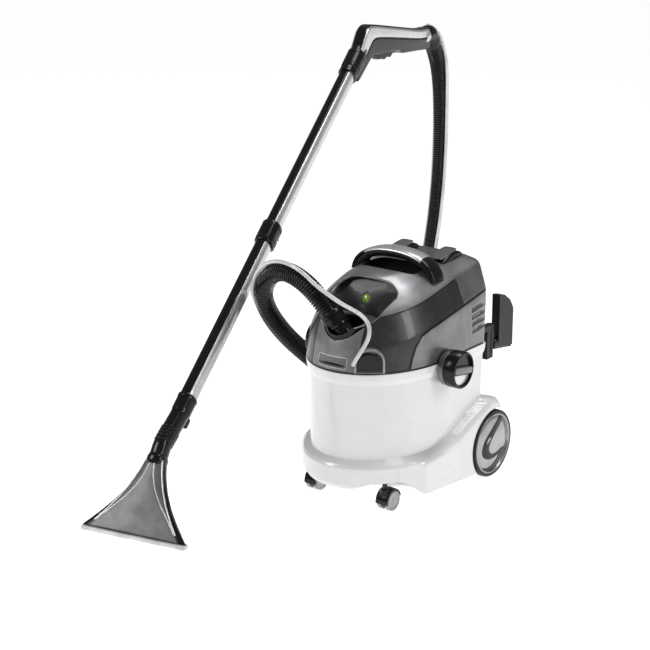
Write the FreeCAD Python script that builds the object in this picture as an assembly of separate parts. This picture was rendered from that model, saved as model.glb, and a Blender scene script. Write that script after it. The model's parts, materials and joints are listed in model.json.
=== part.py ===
# Spray-extraction carpet cleaner: a wheeled container with a lift-off suction head,
# a corrugated hose with a spray line on it, and a two-tube wand with a floor nozzle.
# Millimetres. +Z up, the front is -Y, the origin is on the floor under the container.
import FreeCAD, Part
import math
import os

Vector = FreeCAD.Vector

# container and chassis
rim_height = 280.0
rim_half_width = 137.0
rim_front = -178.0
rim_rear = 158.0
wall = 3.0
seat_height = 64.0
groove_height = 106.0
skirt_half_width = 146.0
skirt_front = -185.0
skirt_bottom = 50.0

# rear wheels and casters
axle_y = 160.8
wheel_radius = 68.8
wheel_outer_x = 156.0
wheel_inner_x = 127.0
axle_radius = 5.0
running_gap = 0.05
caster_x = 86.0
caster_y = -118.0
caster_trail = 12.0
caster_radius = 20.0

# suction head
head_bottom = 284.0
head_wall = 3.0
seam = 0.4
stripe_level = 357.0
stripe_slope = 0.18
crease_level = 405.0
crease_slope = 0.19
bowl_y = -107.0
bowl_radius = 57.0
eye_foot_y = -80.0
eye_foot_z = 360.0
eye_head_y = -46.0
eye_head_z = 440.0
handle_y = 38.0
handle_depth = 38.0
latch_y = 9.0
latch_z = 268.0
latch_radius = 36.0
latch_face_x = 178.7
motor_y = 20.0
cage_y = 20.0
hook_x = 110.0

# wand: standing in one vertical plane, which starts at the middle of the nozzle's lip
lip_x = -205.9
lip_y = -504.4
wand_heading = 101.1
tube_angle = 36.3
low_joint_v = 538.0
low_joint_z = 454.0
tube_visible = 500.0
tube_width = 32.0
tube_depth = 38.0
nozzle_angle = 52.0
nozzle_length = 145.0
lip_width = 225.0

# hose and spray line
hose_diameter = 38.0
hose_bore = 33.0
line_diameter = 8.0
hose_route = [
    (-33, -134, 378), (-63, -137, 411), (-98, -137, 433), (-138, -132, 442),
    (-177, -122, 432), (-212, -106, 404), (-238, -84, 367), (-252, -50, 320),
    (-251, 0, 262), (-243, 58, 208), (-229, 118, 155), (-217, 182, 102), (-213, 250, 58),
    (-228, 322, 27), (-258, 398, 20), (-302, 476, 20), (-350, 556, 20),
    (-397, 636, 20), (-433, 712, 31), (-452, 770, 72), (-462, 814, 134),
    (-471, 856, 214), (-480, 892, 306), (-485, 914, 410), (-487, 922, 516),
    (-486, 918, 602), (-484, 906, 660), (-479, 885, 703), (-472, 855, 738)]
line_route = [
    (51, -175, 302), (61, -176, 319), (72, -172, 338), (80, -165, 358), (75, -156, 379),
    (55, -150, 392), (31, -148, 399), (2, -147, 406), (-25, -147, 417),
    (-55, -146, 429), (-91, -148, 454), (-137, -143, 464), (-186, -132, 453),
    (-229, -114, 420), (-260, -92, 374), (-276, -54, 324), (-275, -3, 265),
    (-268, 55, 212), (-253, 118, 167), (-234, 187, 121), (-219, 258, 80),
    (-229, 329, 50), (-257, 400, 44), (-301, 477, 44), (-348, 556, 44), (-391, 635, 44),
    (-419, 704, 51), (-432, 758, 80), (-440, 802, 136), (-449, 846, 215),
    (-457, 884, 307), (-462, 907, 411), (-464, 914, 517), (-463, 912, 604),
    (-458, 903, 668), (-459, 891, 718), (-461, 872, 757), (-465, 848, 779),
    (-469, 828, 785)]

parts = {}


def box(x0, x1, y0, y1, z0, z1):
    return Part.makeBox(x1 - x0, y1 - y0, z1 - z0, Vector(x0, y0, z0))


def rod(radius, start, end):
    start = Vector(*start)
    run = Vector(*end) - start
    return Part.makeCylinder(radius, run.Length, start, run)


def pipe(outer, inner, start, end):
    return rod(outer, start, end).cut(rod(inner, start, end))


def join(shapes):
    return shapes[0].multiFuse(shapes[1:]).removeSplitter()


def mirrored(shape):
    return shape.mirror(Vector(0, 0, 0), Vector(1, 0, 0))


def prism(outline, low, high):
    # an outline in the YZ plane, pushed out along X
    corners = [Vector(low, y, z) for y, z in outline]
    face = Part.Face(Part.makePolygon(corners + corners[:1]))
    return face.extrude(Vector(high - low, 0, 0))


def slab(low, low_slope, high, high_slope):
    # everything between two planes that climb towards the rear
    far = 600.0
    return prism([(-far, low - far * low_slope), (far, low + far * low_slope),
                  (far, high + far * high_slope), (-far, high - far * high_slope)], -far, far)


def ring(half_width, front, rear, height, slope=0.0, centre=0.0, corner=26.0):
    # plan outline: half an ellipse in front, straight sides, round rear corners
    left = Vector(-half_width, centre, 0)
    right = Vector(half_width, centre, 0)
    nose = Vector(0, front, 0)
    oval_long = centre - front >= half_width
    if oval_long:
        oval = Part.Ellipse(nose, right, Vector(0, centre, 0))
        bow = Part.Arc(oval, -math.pi / 2, math.pi / 2)
    else:
        oval = Part.Ellipse(right, Vector(0, 2 * centre - front, 0), Vector(0, centre, 0))
        bow = Part.Arc(oval, math.pi, 2 * math.pi)
    bow = bow.toShape()
    lean = corner * (1 - math.sqrt(0.5))
    edges = [
        bow,
        Part.makeLine(right, Vector(half_width, rear - corner, 0)),
        Part.Arc(Vector(half_width, rear - corner, 0), Vector(half_width - lean, rear - lean, 0),
                 Vector(half_width - corner, rear, 0)).toShape(),
        Part.makeLine(Vector(half_width - corner, rear, 0), Vector(corner - half_width, rear, 0)),
        Part.Arc(Vector(corner - half_width, rear, 0), Vector(lean - half_width, rear - lean, 0),
                 Vector(-half_width, rear - corner, 0)).toShape(),
        Part.makeLine(Vector(-half_width, rear - corner, 0), left)]
    wire = Part.Wire(Part.__sortEdges__(edges))
    matrix = FreeCAD.Matrix()
    matrix.A32 = slope
    matrix.A34 = height
    return wire.transformGeometry(matrix) if slope else wire.translated(Vector(0, 0, height))


def loft(rings):
    return Part.makeLoft(rings, True, True)


def block_loft(stations):
    # stations: (x along the run, half width in y, low z, high z)
    wires = []
    for x, half, low, high in stations:
        corners = [Vector(x, -half, low), Vector(x, half, low), Vector(x, half, high), Vector(x, -half, high)]
        wires.append(Part.makePolygon(corners + corners[:1]))
    return loft(wires)


def stadium(width, depth, start, length):
    # a bar along X with half-round edges, wide in Y and deep in Z
    half_flat = (depth - width) / 2
    bars = [rod(width / 2, (start, 0, half_flat), (start + length, 0, half_flat)),
            rod(width / 2, (start, 0, -half_flat), (start + length, 0, -half_flat)),
            box(start, start + length, -width / 2, width / 2, -half_flat, half_flat)]
    return join(bars)


def placed(shape, origin, turn_axis, angle):
    moved = shape.copy()
    turn = FreeCAD.Rotation(Vector(*turn_axis), angle)
    moved.Placement = FreeCAD.Placement(Vector(*origin), turn).multiply(moved.Placement)
    return moved


# ---- container ----

def tub_outer(grow=0.0):
    sizes = [(127, -166, 149, seat_height - grow), (128.5, -169, 156, groove_height),
             (131, -172, 157, 252), (136, -177, 158, 266), (rim_half_width, rim_front, rim_rear, rim_height)]
    return loft([ring(a + grow, front - grow, rear + grow, z, corner=13) for a, front, rear, z in sizes])


def wheel_well(radius, inner_x):
    right = rod(radius, (inner_x, axle_y, wheel_radius), (200, axle_y, wheel_radius))
    return right.fuse(mirrored(right))


def make_container():
    inner = loft([ring(a, front, rear, z, corner=11) for a, front, rear, z in [
        (124, -163, 146, seat_height + wall), (125.5, -166, 153, groove_height),
        (128, -169, 154, 252), (133, -174, 155, 266), (133.9, -175, 155, rim_height + 1)]])
    inner = inner.cut(wheel_well(80, 115))
    well = wheel_well(77, 118)
    parts["container_tub"] = tub_outer().cut(well).cut(inner)

    skirt = loft([ring(138, -176, 150, skirt_bottom), ring(145, -183, 152, 60),
                  ring(skirt_half_width, skirt_front, 152, 94), ring(130, -171, 152, groove_height)])
    fairing = prism([(-100, 52), (-64, 30), (100, 20), (150, 30), (185, 60), (192, 100), (192, 146),
                     (183, 159), (158, 165), (98, 144), (44, 119), (-100, 94)], 116, 154.5)
    slope_cut = prism([(-90, 100), (44, 124), (98, 149), (158, 170), (158, 200), (-90, 200)], 140, 160)
    toe_in = Part.Face(Part.makePolygon([Vector(x, y, 0) for x, y in [
        (118, -110), (200, -110), (200, 120), (155, 120), (144.5, -64), (121, -99), (118, -110)]]))
    fairing = fairing.cut(slope_cut).cut(toe_in.extrude(Vector(0, 0, 200)))
    hollow = prism([(-58, 10), (215, 10), (215, 110), (184, 140), (158, 158), (98, 138),
                    (44, 113), (-58, 89)], 120, 141.5)
    under = loft([ring(133, -171, 146, skirt_bottom - 1), ring(141, -179, 148, seat_height - 4.4)])
    arches = wheel_well(wheel_radius + 5, 122)
    beam = box(-124, 124, 152.2, 174, 55, 82).cut(rod(axle_radius, (-124, axle_y, wheel_radius),
                                                     (124, axle_y, wheel_radius)))
    shell = join([skirt, fairing, mirrored(fairing)])
    shell = shell.cut(hollow).cut(mirrored(hollow)).cut(under).cut(tub_outer(0.4)).cut(arches)
    shell = shell.cut(box(-115.5, 115.5, 150, 230, 10, 200))
    lower_relief = box(42, 112, -200, -70, 40, 58.5)
    shell = shell.cut(lower_relief).cut(mirrored(lower_relief))
    deck = loft([ring(141.5, -179.5, 151, 60), ring(141.5, -179.5, 151, seat_height - 0.4)]).cut(arches)
    boss = pipe(10, axle_radius + running_gap, (caster_x, caster_y, 46), (caster_x, caster_y, 60.5))
    bore = rod(axle_radius + running_gap, (caster_x, caster_y, 40), (caster_x, caster_y, 63))
    shell = join([shell, deck, boss, mirrored(boss), beam,
                  box(-110, 110, 150, 153, 60, 80)])
    shell = shell.cut(tub_outer(0.4)).cut(bore).cut(mirrored(bore))
    shell = shell.cut(rod(axle_radius, (-124, axle_y, wheel_radius), (124, axle_y, wheel_radius)))
    parts["chassis"] = max(shell.Solids, key=lambda solid: solid.Volume)
    parts["rear_axle"] = rod(axle_radius, (-148, axle_y, wheel_radius), (148, axle_y, wheel_radius))

    tank_top = 245.0
    parts["waste_tank"] = loft([ring(108, -136, 116, 68, corner=20), ring(112, -142, 120, tank_top, corner=20)]).cut(
        loft([ring(105.5, -133.5, 113.5, 71, corner=18), ring(109.6, -139.6, 117.6, tank_top + 1, corner=18)]))
    screws = []
    for x, y in ((-60, -80), (60, -80), (-60, 90), (60, 90)):
        screws.append(join([rod(3.5, (x, y, 57), (x, y, 59.9)), rod(1.8, (x, y, 59.8), (x, y, 66.5))]))
    parts["deck_screws"] = Part.makeCompound(screws)
    for name in ("chassis", "container_tub"):
        for screw in screws:
            parts[name] = parts[name].cut(screw)


def make_rear_wheel(side):
    z = wheel_radius
    def disc(radius, x0, x1):
        return rod(radius, (x0, axle_y, z), (x1, axle_y, z))
    hub = disc(60, wheel_inner_x + 1, wheel_outer_x).cut(disc(52, wheel_inner_x, 146))
    hub = hub.makeFillet(4, [edge for edge in hub.Edges if edge.BoundBox.XMin > 155 and edge.BoundBox.ZLength > 50])
    hub = hub.fuse(disc(11, wheel_inner_x, 147)).cut(disc(axle_radius + running_gap, 100, 149))
    hub = hub.removeSplitter()
    tyre = disc(wheel_radius, wheel_inner_x, 154).cut(disc(60, wheel_inner_x - 1, 160))
    tyre = tyre.makeFillet(2.5, [edge for edge in tyre.Edges if edge.BoundBox.ZLength > 2 * 65])
    for name, shape in (("wheel", hub), ("tyre", tyre)):
        parts[name + "_" + side] = shape if side == "right" else mirrored(shape)


def make_caster(side):
    x = caster_x if side == "right" else -caster_x
    axle_at = caster_y + caster_trail
    z = caster_radius
    def disc(radius, x0, x1):
        return rod(radius, (x + x0, axle_at, z), (x + x1, axle_at, z))
    pin = 3.0
    web = disc(18, -4, 4).cut(box(x - 5, x + 5, axle_at - 30, axle_at + 30, -5, 4))
    fender = disc(23.4, -13.5, 13.5).cut(disc(caster_radius + 0.8, -14, 14))
    fender = fender.cut(box(x - 20, x + 20, axle_at - 30, axle_at + 30, -10, 17))
    fender = fender.cut(box(x - 20, x + 20, axle_at + 5, axle_at + 40, -10, 60))
    bridge = box(x - 4, x + 4, axle_at - 20, axle_at + 4, 34, 42.4)
    column = rod(9, (x, caster_y, 36), (x, caster_y, 45.5)).cut(disc(caster_radius + 0.8, -20, -4)).cut(
        disc(caster_radius + 0.8, 4, 20))
    stem = rod(axle_radius, (x, caster_y, 45), (x, caster_y, 59.5))
    hood = join([web, fender, bridge, column, stem]).cut(disc(pin + running_gap, -20, 20))
    parts["caster_hood_" + side] = max(hood.Solids, key=lambda solid: solid.Volume)
    wheels = [disc(caster_radius, 5, 14.5), disc(caster_radius, -14.5, -5), disc(pin, -14.5, 14.5)]
    parts["caster_wheels_" + side] = join(wheels)


# ---- suction head ----

head_levels = [(136, -178, 157, head_bottom, 0, 0), (129, -168, 172, stripe_level, stripe_slope, 0),
               (108, -150, 176, crease_level, crease_slope, 0), (78, -102, 168, 431, 0.1, 8),
               (46, -52, 156, 444, 0.02, 14)]


def head_solid(inset=0.0):
    rings = []
    for a, front, rear, z, slope, centre in head_levels:
        drop = inset if z > 440 else 0.0
        rings.append(ring(a - inset, front + inset, rear - inset, z - drop, slope, centre, 18))
    return loft(rings)


def eye_space(offset=0.0):
    # the open space in front of the sloping eye face, above the hose inlet
    dy = offset
    return prism([(eye_foot_y + dy, eye_foot_z), (eye_head_y + dy, eye_head_z), (eye_head_y + dy, 520),
                  (-220, 520), (-220, eye_foot_z)], -bowl_radius, bowl_radius)


def make_head():
    outer = head_solid()
    shell = outer.cut(head_solid(head_wall).cut(box(-200, 200, -300, 300, 0, head_bottom + 5)))
    bowl_cut = rod(bowl_radius, (0, bowl_y, 334), (0, bowl_y, 520))
    pocket = bowl_cut.common(eye_space().fuse(box(-80, 80, -220, eye_foot_y, 334, 380)))
    tray_half, tray_front, tray_rear, tray_floor = 62.0, -14.0, 60.0, 402.0
    tray_hole = box(-tray_half, tray_half, tray_front, tray_rear, tray_floor, 520)
    shell = shell.cut(pocket).cut(tray_hole)

    front_zone = box(-52, 52, -300, -60, 270, 600)
    high = slab(crease_level + seam, crease_slope, 700, 0)
    front_zone_gap = box(-52 - seam, 52 + seam, -300, -60, 270, 600)
    rear_line = 64.0
    rear_low = box(-300, 300, 92, 300, head_bottom + 5.2, 700)

    # the side wall under the stripe; ahead of it the side panel runs down to the rim
    stripe_rise = [(-92, 260), (-86, 308), (-58, 341), (-12, stripe_level - 12 * stripe_slope - 2)]
    stripe_run = [(300, stripe_level + 300 * stripe_slope), (300, 260)]
    under_stripe = prism(stripe_rise + stripe_run, -200, 200)
    grown_rise = [(y - seam, z + seam) for y, z in stripe_rise]
    under_stripe_gap = prism(grown_rise + [(300, stripe_run[0][1] + seam), (300, 260)], -200, 200)
    base_wall = shell.common(under_stripe).cut(box(-300, 300, 92 - seam, 300, 289.2, 700))
    plate = loft([ring(136, -178, 157, head_bottom), ring(135.6, -177.5, 157.8, head_bottom + 5)])
    plug = loft([ring(131.8, -172.8, 152.8, 273, corner=24), ring(131.8, -172.8, 152.8, head_bottom + 1, corner=24)]).cut(
        loft([ring(129, -170, 150, 272, corner=22), ring(129, -170, 150, head_bottom + 2, corner=22)]))
    boss = rod(34, (139, latch_y, latch_z), (150, latch_y, latch_z))
    bridge = box(120, 150, latch_y - 24, latch_y + 24, head_bottom, head_bottom + 17)
    spindle_hole = rod(7, (136, latch_y, latch_z), (160, latch_y, latch_z))
    housing = boss.fuse(bridge).cut(head_solid(head_wall)).cut(spindle_hole)
    base = join([base_wall, plate, plug, housing, mirrored(housing)])
    holes = [rod(30, (0, cage_y, 270), (0, cage_y, 292)), rod(24, (0, bowl_y - 8, 270), (0, bowl_y - 8, 292)),
             rod(5.4, (70, 134, 270), (70, 134, 292))]
    base = base.cut(holes[0]).cut(holes[1]).cut(holes[2])
    parts["head_base"] = max(base.Solids, key=lambda solid: solid.Volume)

    seal_gap = 0.2
    parts["rim_seal"] = loft([ring(136.6, -177.6, 157.6, rim_height + seal_gap),
                              ring(136.6, -177.6, 157.6, head_bottom)]).cut(
        loft([ring(133.2, -174.2, 154.2, rim_height), ring(133.2, -174.2, 154.2, head_bottom + 1)]))

    button_hole = box(-31.4, 31.4, -200, -150, 290, 308.4)
    arch_hole = connector_arch(0.4)
    lifted = slab(head_bottom + 5.2, 0, 700, 0)
    front = shell.common(front_zone).common(lifted)
    hood = shell.common(high).cut(box(-300, 300, rear_line, 400, 0, 700)).fuse(front).removeSplitter()
    hood = hood.cut(button_hole).cut(arch_hole)
    parts["front_hood"] = max(hood.Solids, key=lambda solid: solid.Volume)
    side_rear = 80.0
    middle = slab(head_bottom + 5.2, 0, crease_level, crease_slope).cut(under_stripe_gap)
    sides = shell.common(middle).cut(front_zone_gap)
    right = sides.common(box(0, 300, -300, side_rear - seam, 0, 700)).cut(arch_hole)
    parts["side_panel_right"] = max(right.Solids, key=lambda solid: solid.Volume)
    hose_clearance = rod(hose_diameter / 2 + 2.5, hose_route[0], hose_route[1]).fuse(
        rod(hose_diameter / 2 + 2.5, hose_route[1], hose_route[2]))
    left = mirrored(parts["side_panel_right"]).cut(hose_clearance)
    parts["side_panel_left"] = max(left.Solids, key=lambda solid: solid.Volume)
    parts["head_base"] = parts["head_base"].cut(arch_hole).cut(button_hole)
    rear = shell.cut(slab(stripe_level, stripe_slope, 900, 0)).common(rear_low)
    gland_hole = rod(9.0, (-70, 140, 320), (-70, 200, 320))
    rear = rear.cut(gland_hole)
    for row in range(4):
        low_z = 308 + 14 * row
        slot = prism([(104, low_z), (146, low_z + 5), (146, low_z + 11), (104, low_z + 6)], 100, 200)
        rear = rear.cut(slot).cut(mirrored(slot))
    parts["rear_housing"] = max(rear.Solids, key=lambda solid: solid.Volume)
    cover = shell.common(slab(stripe_level + seam, stripe_slope, 900, 0)).common(
        box(-300, 300, side_rear, 400, 0, 700)).fuse(
        shell.common(high).common(box(-300, 300, rear_line + seam, side_rear + 0.1, 0, 700)))
    pod = prism([(68, 432), (104, 452), (148, 460), (166, 448), (172, 420), (68, 420)], 30, 72)
    pod = pod.cut(head_solid(head_wall))
    cover = join([cover, pod, mirrored(pod)])
    parts["rear_cover"] = max(cover.Solids, key=lambda solid: solid.Volume)

    # recess under the handle with its two switches
    tray = box(-tray_half + seam, tray_half - seam, tray_front + seam, tray_rear - seam, tray_floor, 500)
    tray = tray.common(outer).cut(box(-tray_half + 3, tray_half - 3, tray_front + 3, tray_rear - 3, tray_floor + 3, 520))
    switch_places = {"suction_switch": 22.0, "spray_switch": -26.0}
    for name, x in switch_places.items():
        tray = tray.cut(rod(15.4, (x, 22, tray_floor - 1), (x, 22, tray_floor + 4)))
        stem = rod(15, (x, 22, tray_floor - 8), (x, 22, tray_floor + 18))
        dome = Part.makeSphere(34, Vector(x, 22, tray_floor - 8))
        parts[name] = rod(20, (x, 22, tray_floor + 8), (x, 22, tray_floor + 26)).common(dome).fuse(stem).removeSplitter()
    parts["recess_tray"] = tray

    # carrying handle: a light upper shell over a dark lower grip
    def arch_band(inner, outer):
        # the band between two offsets, in from the handle's top line
        line = [(100, 420), (90, 448), (66, 469), (24, 478)]
        def offset(depth):
            half = [(x - depth, z - depth * (0.35 if z < 460 else 1.0)) for x, z in line]
            return half + [(-x, z) for x, z in reversed(half)]
        low_line = offset(inner)
        high_line = offset(outer)
        y0 = handle_y - handle_depth / 2
        corners = [Vector(x, y0, z) for x, z in high_line + low_line[::-1]]
        return Part.Face(Part.makePolygon(corners + corners[:1])).extrude(Vector(0, handle_depth, 0))
    for name, depths in (("carry_handle", (8, 0)), ("handle_grip", (16, 8.2))):
        parts[name] = max(arch_band(*depths).cut(head_solid()).Solids, key=lambda solid: solid.Volume)

    # eye face, lens and inlet
    slope = math.degrees(math.atan2(eye_head_z - eye_foot_z, eye_head_y - eye_foot_y))
    plate_height = math.hypot(eye_head_z - eye_foot_z, eye_head_y - eye_foot_y) - 8
    face = box(-55, 55, 0, 3, 4, plate_height - 6)
    lens_hole = rod(9, (0, -5, plate_height / 2), (0, 8, plate_height / 2))
    lens = rod(8.8, (0, -1, plate_height / 2), (0, 3, plate_height / 2))
    for name, shape in (("eye_panel", face.cut(lens_hole)), ("indicator_lens", lens)):
        parts[name] = placed(shape, (0, eye_foot_y + 0.5, eye_foot_z), (1, 0, 0), slope - 90)
    parts["eye_panel"] = parts["eye_panel"].common(head_solid(head_wall + 0.3))
    bowl = rod(bowl_radius - 0.5, (0, bowl_y, 318), (0, bowl_y, 362)).cut(rod(bowl_radius - 3.5, (0, bowl_y, 321), (0, bowl_y, 363)))
    bowl = bowl.common(head_solid(head_wall + 0.3)).cut(eye_space(0.0)).cut(box(-80, 80, eye_foot_y, 0, 356, 400))
    bowl = bowl.fuse(rod(23.4, (0, bowl_y - 8, 262), (0, bowl_y - 8, 320)))
    bowl = bowl.cut(rod(20.4, (0, bowl_y - 8, 255), (0, bowl_y - 8, 330))).removeSplitter()
    parts["inlet_bowl"] = max(bowl.Solids, key=lambda solid: solid.Volume)
    make_elbow()
    elbow_space = parts["hose_elbow"].fuse(parts["hose_collar"])
    parts["inlet_bowl"] = max(parts["inlet_bowl"].cut(elbow_space).Solids, key=lambda solid: solid.Volume)
    hood = parts["front_hood"].cut(parts["inlet_bowl"]).cut(parts["eye_panel"]).cut(hose_clearance).cut(elbow_space)
    parts["front_hood"] = max(hood.Solids, key=lambda solid: solid.Volume)
    line_start = Vector(*line_route[0])
    line_axis = (Vector(*line_route[1]) - line_start).normalize()
    nipple = rod(6, tuple(line_start - line_axis * 11), tuple(line_start))
    lug = rod(7, (50, -160, 291.5), (47, -173, 291.5))
    parts["spray_connector"] = join([connector_arch(0.0), lug, nipple]).cut(box(0, 100, -200, -100, 270, 285))
    for name in ("front_hood", "head_base", "rim_seal", "side_panel_right"):
        cleared = parts[name].cut(parts["spray_connector"])
        parts[name] = max(cleared.Solids, key=lambda solid: solid.Volume)
    parts["release_button"] = box(-31, 31, -182, -152, 290.4, 308).common(
        loft([ring(137, -179.5, 157, 284), ring(136, -178, 158, 320)])).cut(
        loft([ring(131, -172.5, 151, 283), ring(128, -170, 151, 321)]))

    # inside the head
    motor = rod(56, (0, motor_y, 300), (0, motor_y, 387)).cut(rod(53, (0, motor_y, 303), (0, motor_y, 384)))
    motor = motor.cut(rod(20, (0, motor_y, 290), (0, motor_y, 304)))
    parts["motor_can"] = motor.fuse(pipe(56, 50, (0, motor_y, 289.2), (0, motor_y, 300.2))).removeSplitter()
    fan = join([rod(50, (0, motor_y, 308), (0, motor_y, 322)), rod(30, (0, motor_y, 321), (0, motor_y, 372)),
                rod(5, (0, motor_y, 306), (0, motor_y, 382))])
    for blade in range(8):
        angle = math.radians(45 * blade)
        hole = rod(5, (38 * math.cos(angle), motor_y + 38 * math.sin(angle), 300),
                   (38 * math.cos(angle), motor_y + 38 * math.sin(angle), 330))
        fan = fan.cut(hole)
    parts["suction_fan"] = fan
    cage = rod(29.6, (0, cage_y, 232), (0, cage_y, 288.6)).cut(rod(27, (0, cage_y, 235), (0, cage_y, 289.5)))
    for turn in range(3):
        cage = cage.cut(placed(box(-60, 60, -7, 7, 238, 270), (0, cage_y, 0), (0, 0, 1), 60 * turn))
    parts["float_cage"] = cage
    parts["float"] = rod(22, (0, cage_y, 236), (0, cage_y, 258))
    parts["spray_pump"] = join([rod(19, (70, 128, 296), (70, 128, 350)), box(54, 86, 112, 144, 289.2, 297)])
    strainer = pipe(8, 5, (70, 134, 72), (70, 134, 92))
    parts["intake_pipe"] = pipe(5, 3.5, (70, 134, 84), (70, 134, 289)).fuse(strainer).removeSplitter()
    parts["cord_gland"] = pipe(8.8, 4, (-70, 152, 320), (-70, 180, 320)).fuse(
        pipe(12, 8.8, (-70, 172.5, 320), (-70, 176, 320))).removeSplitter()
    make_hook()
    for side in ("right", "left"):
        make_latch(side)


def connector_arch(grow):
    # an upright round-topped block on the head's front right, square to the curved wall there
    half = 29.0 + grow
    foot = 290.0 - grow
    spring_line = 304.0
    top = rod(half, (0, -9 - grow, spring_line), (0, 12 + grow, spring_line))
    top = top.cut(box(-60, 60, -60, 60, 200, spring_line))
    block = box(-half, half, -9 - grow, 12 + grow, foot, spring_line + 0.1)
    return placed(join([block, top]), (70, -149, 0), (0, 0, 1), 37.5)


def make_elbow():
    mouth = Vector(*hose_route[0])
    axis = (Vector(*hose_route[1]) - mouth).normalize()
    start = Vector(0, bowl_y - 8, 322)
    bend = mouth - axis * 52
    end = mouth - axis * 24
    radius = 20.0
    legs = [rod(radius, tuple(start), tuple(bend)), Part.makeSphere(radius, bend), rod(radius, tuple(bend), tuple(end))]
    elbow = join(legs)
    bore = [rod(16, tuple(start - (bend - start) * 0.2), tuple(bend)), Part.makeSphere(16, bend),
            rod(16, tuple(bend), tuple(end + (end - bend)))]
    parts["hose_elbow"] = elbow.cut(join(bore))
    collar = rod(23, tuple(mouth - axis * 33), tuple(mouth))
    parts["hose_collar"] = collar.cut(rod(16, tuple(mouth - axis * 34), tuple(mouth + axis))).cut(elbow)


def make_hook():
    # parking hook: a fixed column on the rear wall and a swinging fluted arm
    x0, x1 = hook_x - 8, hook_x + 8
    column = box(x0, x1, 186, 200, 231, 300)
    tie = box(x0, x1, 160, 187, 290, 300).cut(head_solid())
    knuckle = rod(8, (hook_x, 206, 231), (hook_x, 206, 300))
    base = join([column, tie, knuckle])
    base = base.cut(box(x0 - 5, x1 + 5, 197, 220, 244, 286))
    pin = rod(3, (hook_x, 206, 243), (hook_x, 206, 287))
    parts["hook_base"] = join([base, pin])
    arm = prism([(214, 246), (280, 236), (280, 248), (214, 266)], hook_x - 7, hook_x + 7)
    eye = rod(8, (hook_x, 206, 244.5), (hook_x, 206, 285.5))
    upright = prism([(228, 250), (281, 240), (281, 318), (268, 338), (246, 353), (228, 356)],
                    hook_x - 9, hook_x + 9)
    arm = join([arm, eye, box(hook_x - 5, hook_x + 5, 206, 216, 246, 284), upright])
    parts["hook_arm"] = arm.cut(rod(3 + running_gap, (hook_x, 206, 240), (hook_x, 206, 290)))


def make_latch(side):
    knob = rod(latch_radius, (152, latch_y, latch_z), (172, latch_y, latch_z))
    bar = box(170, latch_face_x, latch_y - 32, latch_y + 32, latch_z - 9, latch_z + 9)
    rim = pipe(latch_radius, 31, (171, latch_y, latch_z), (latch_face_x - 2, latch_y, latch_z))
    spindle = rod(7 - running_gap, (141, latch_y, latch_z), (153, latch_y, latch_z))
    turned = join([knob, bar, rim, spindle])
    parts["latch_knob_" + side] = turned if side == "right" else mirrored(turned)


# ---- wand ----

def in_plane(v, z, angle, shape):
    # a shape drawn along +X is laid in the wand's plane at (v, z), climbing by angle
    climbed = placed(shape, (v, 0, z), (0, 1, 0), -angle)
    return placed(climbed, (lip_x, lip_y, 0), (0, 0, 1), wand_heading)


def wand_prism(outline, half_width):
    corners = [Vector(v, -half_width, z) for v, z in outline]
    face = Part.Face(Part.makePolygon(corners + corners[:1]))
    return in_plane(0, 0, 0, face.extrude(Vector(0, 2 * half_width, 0)))


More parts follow.
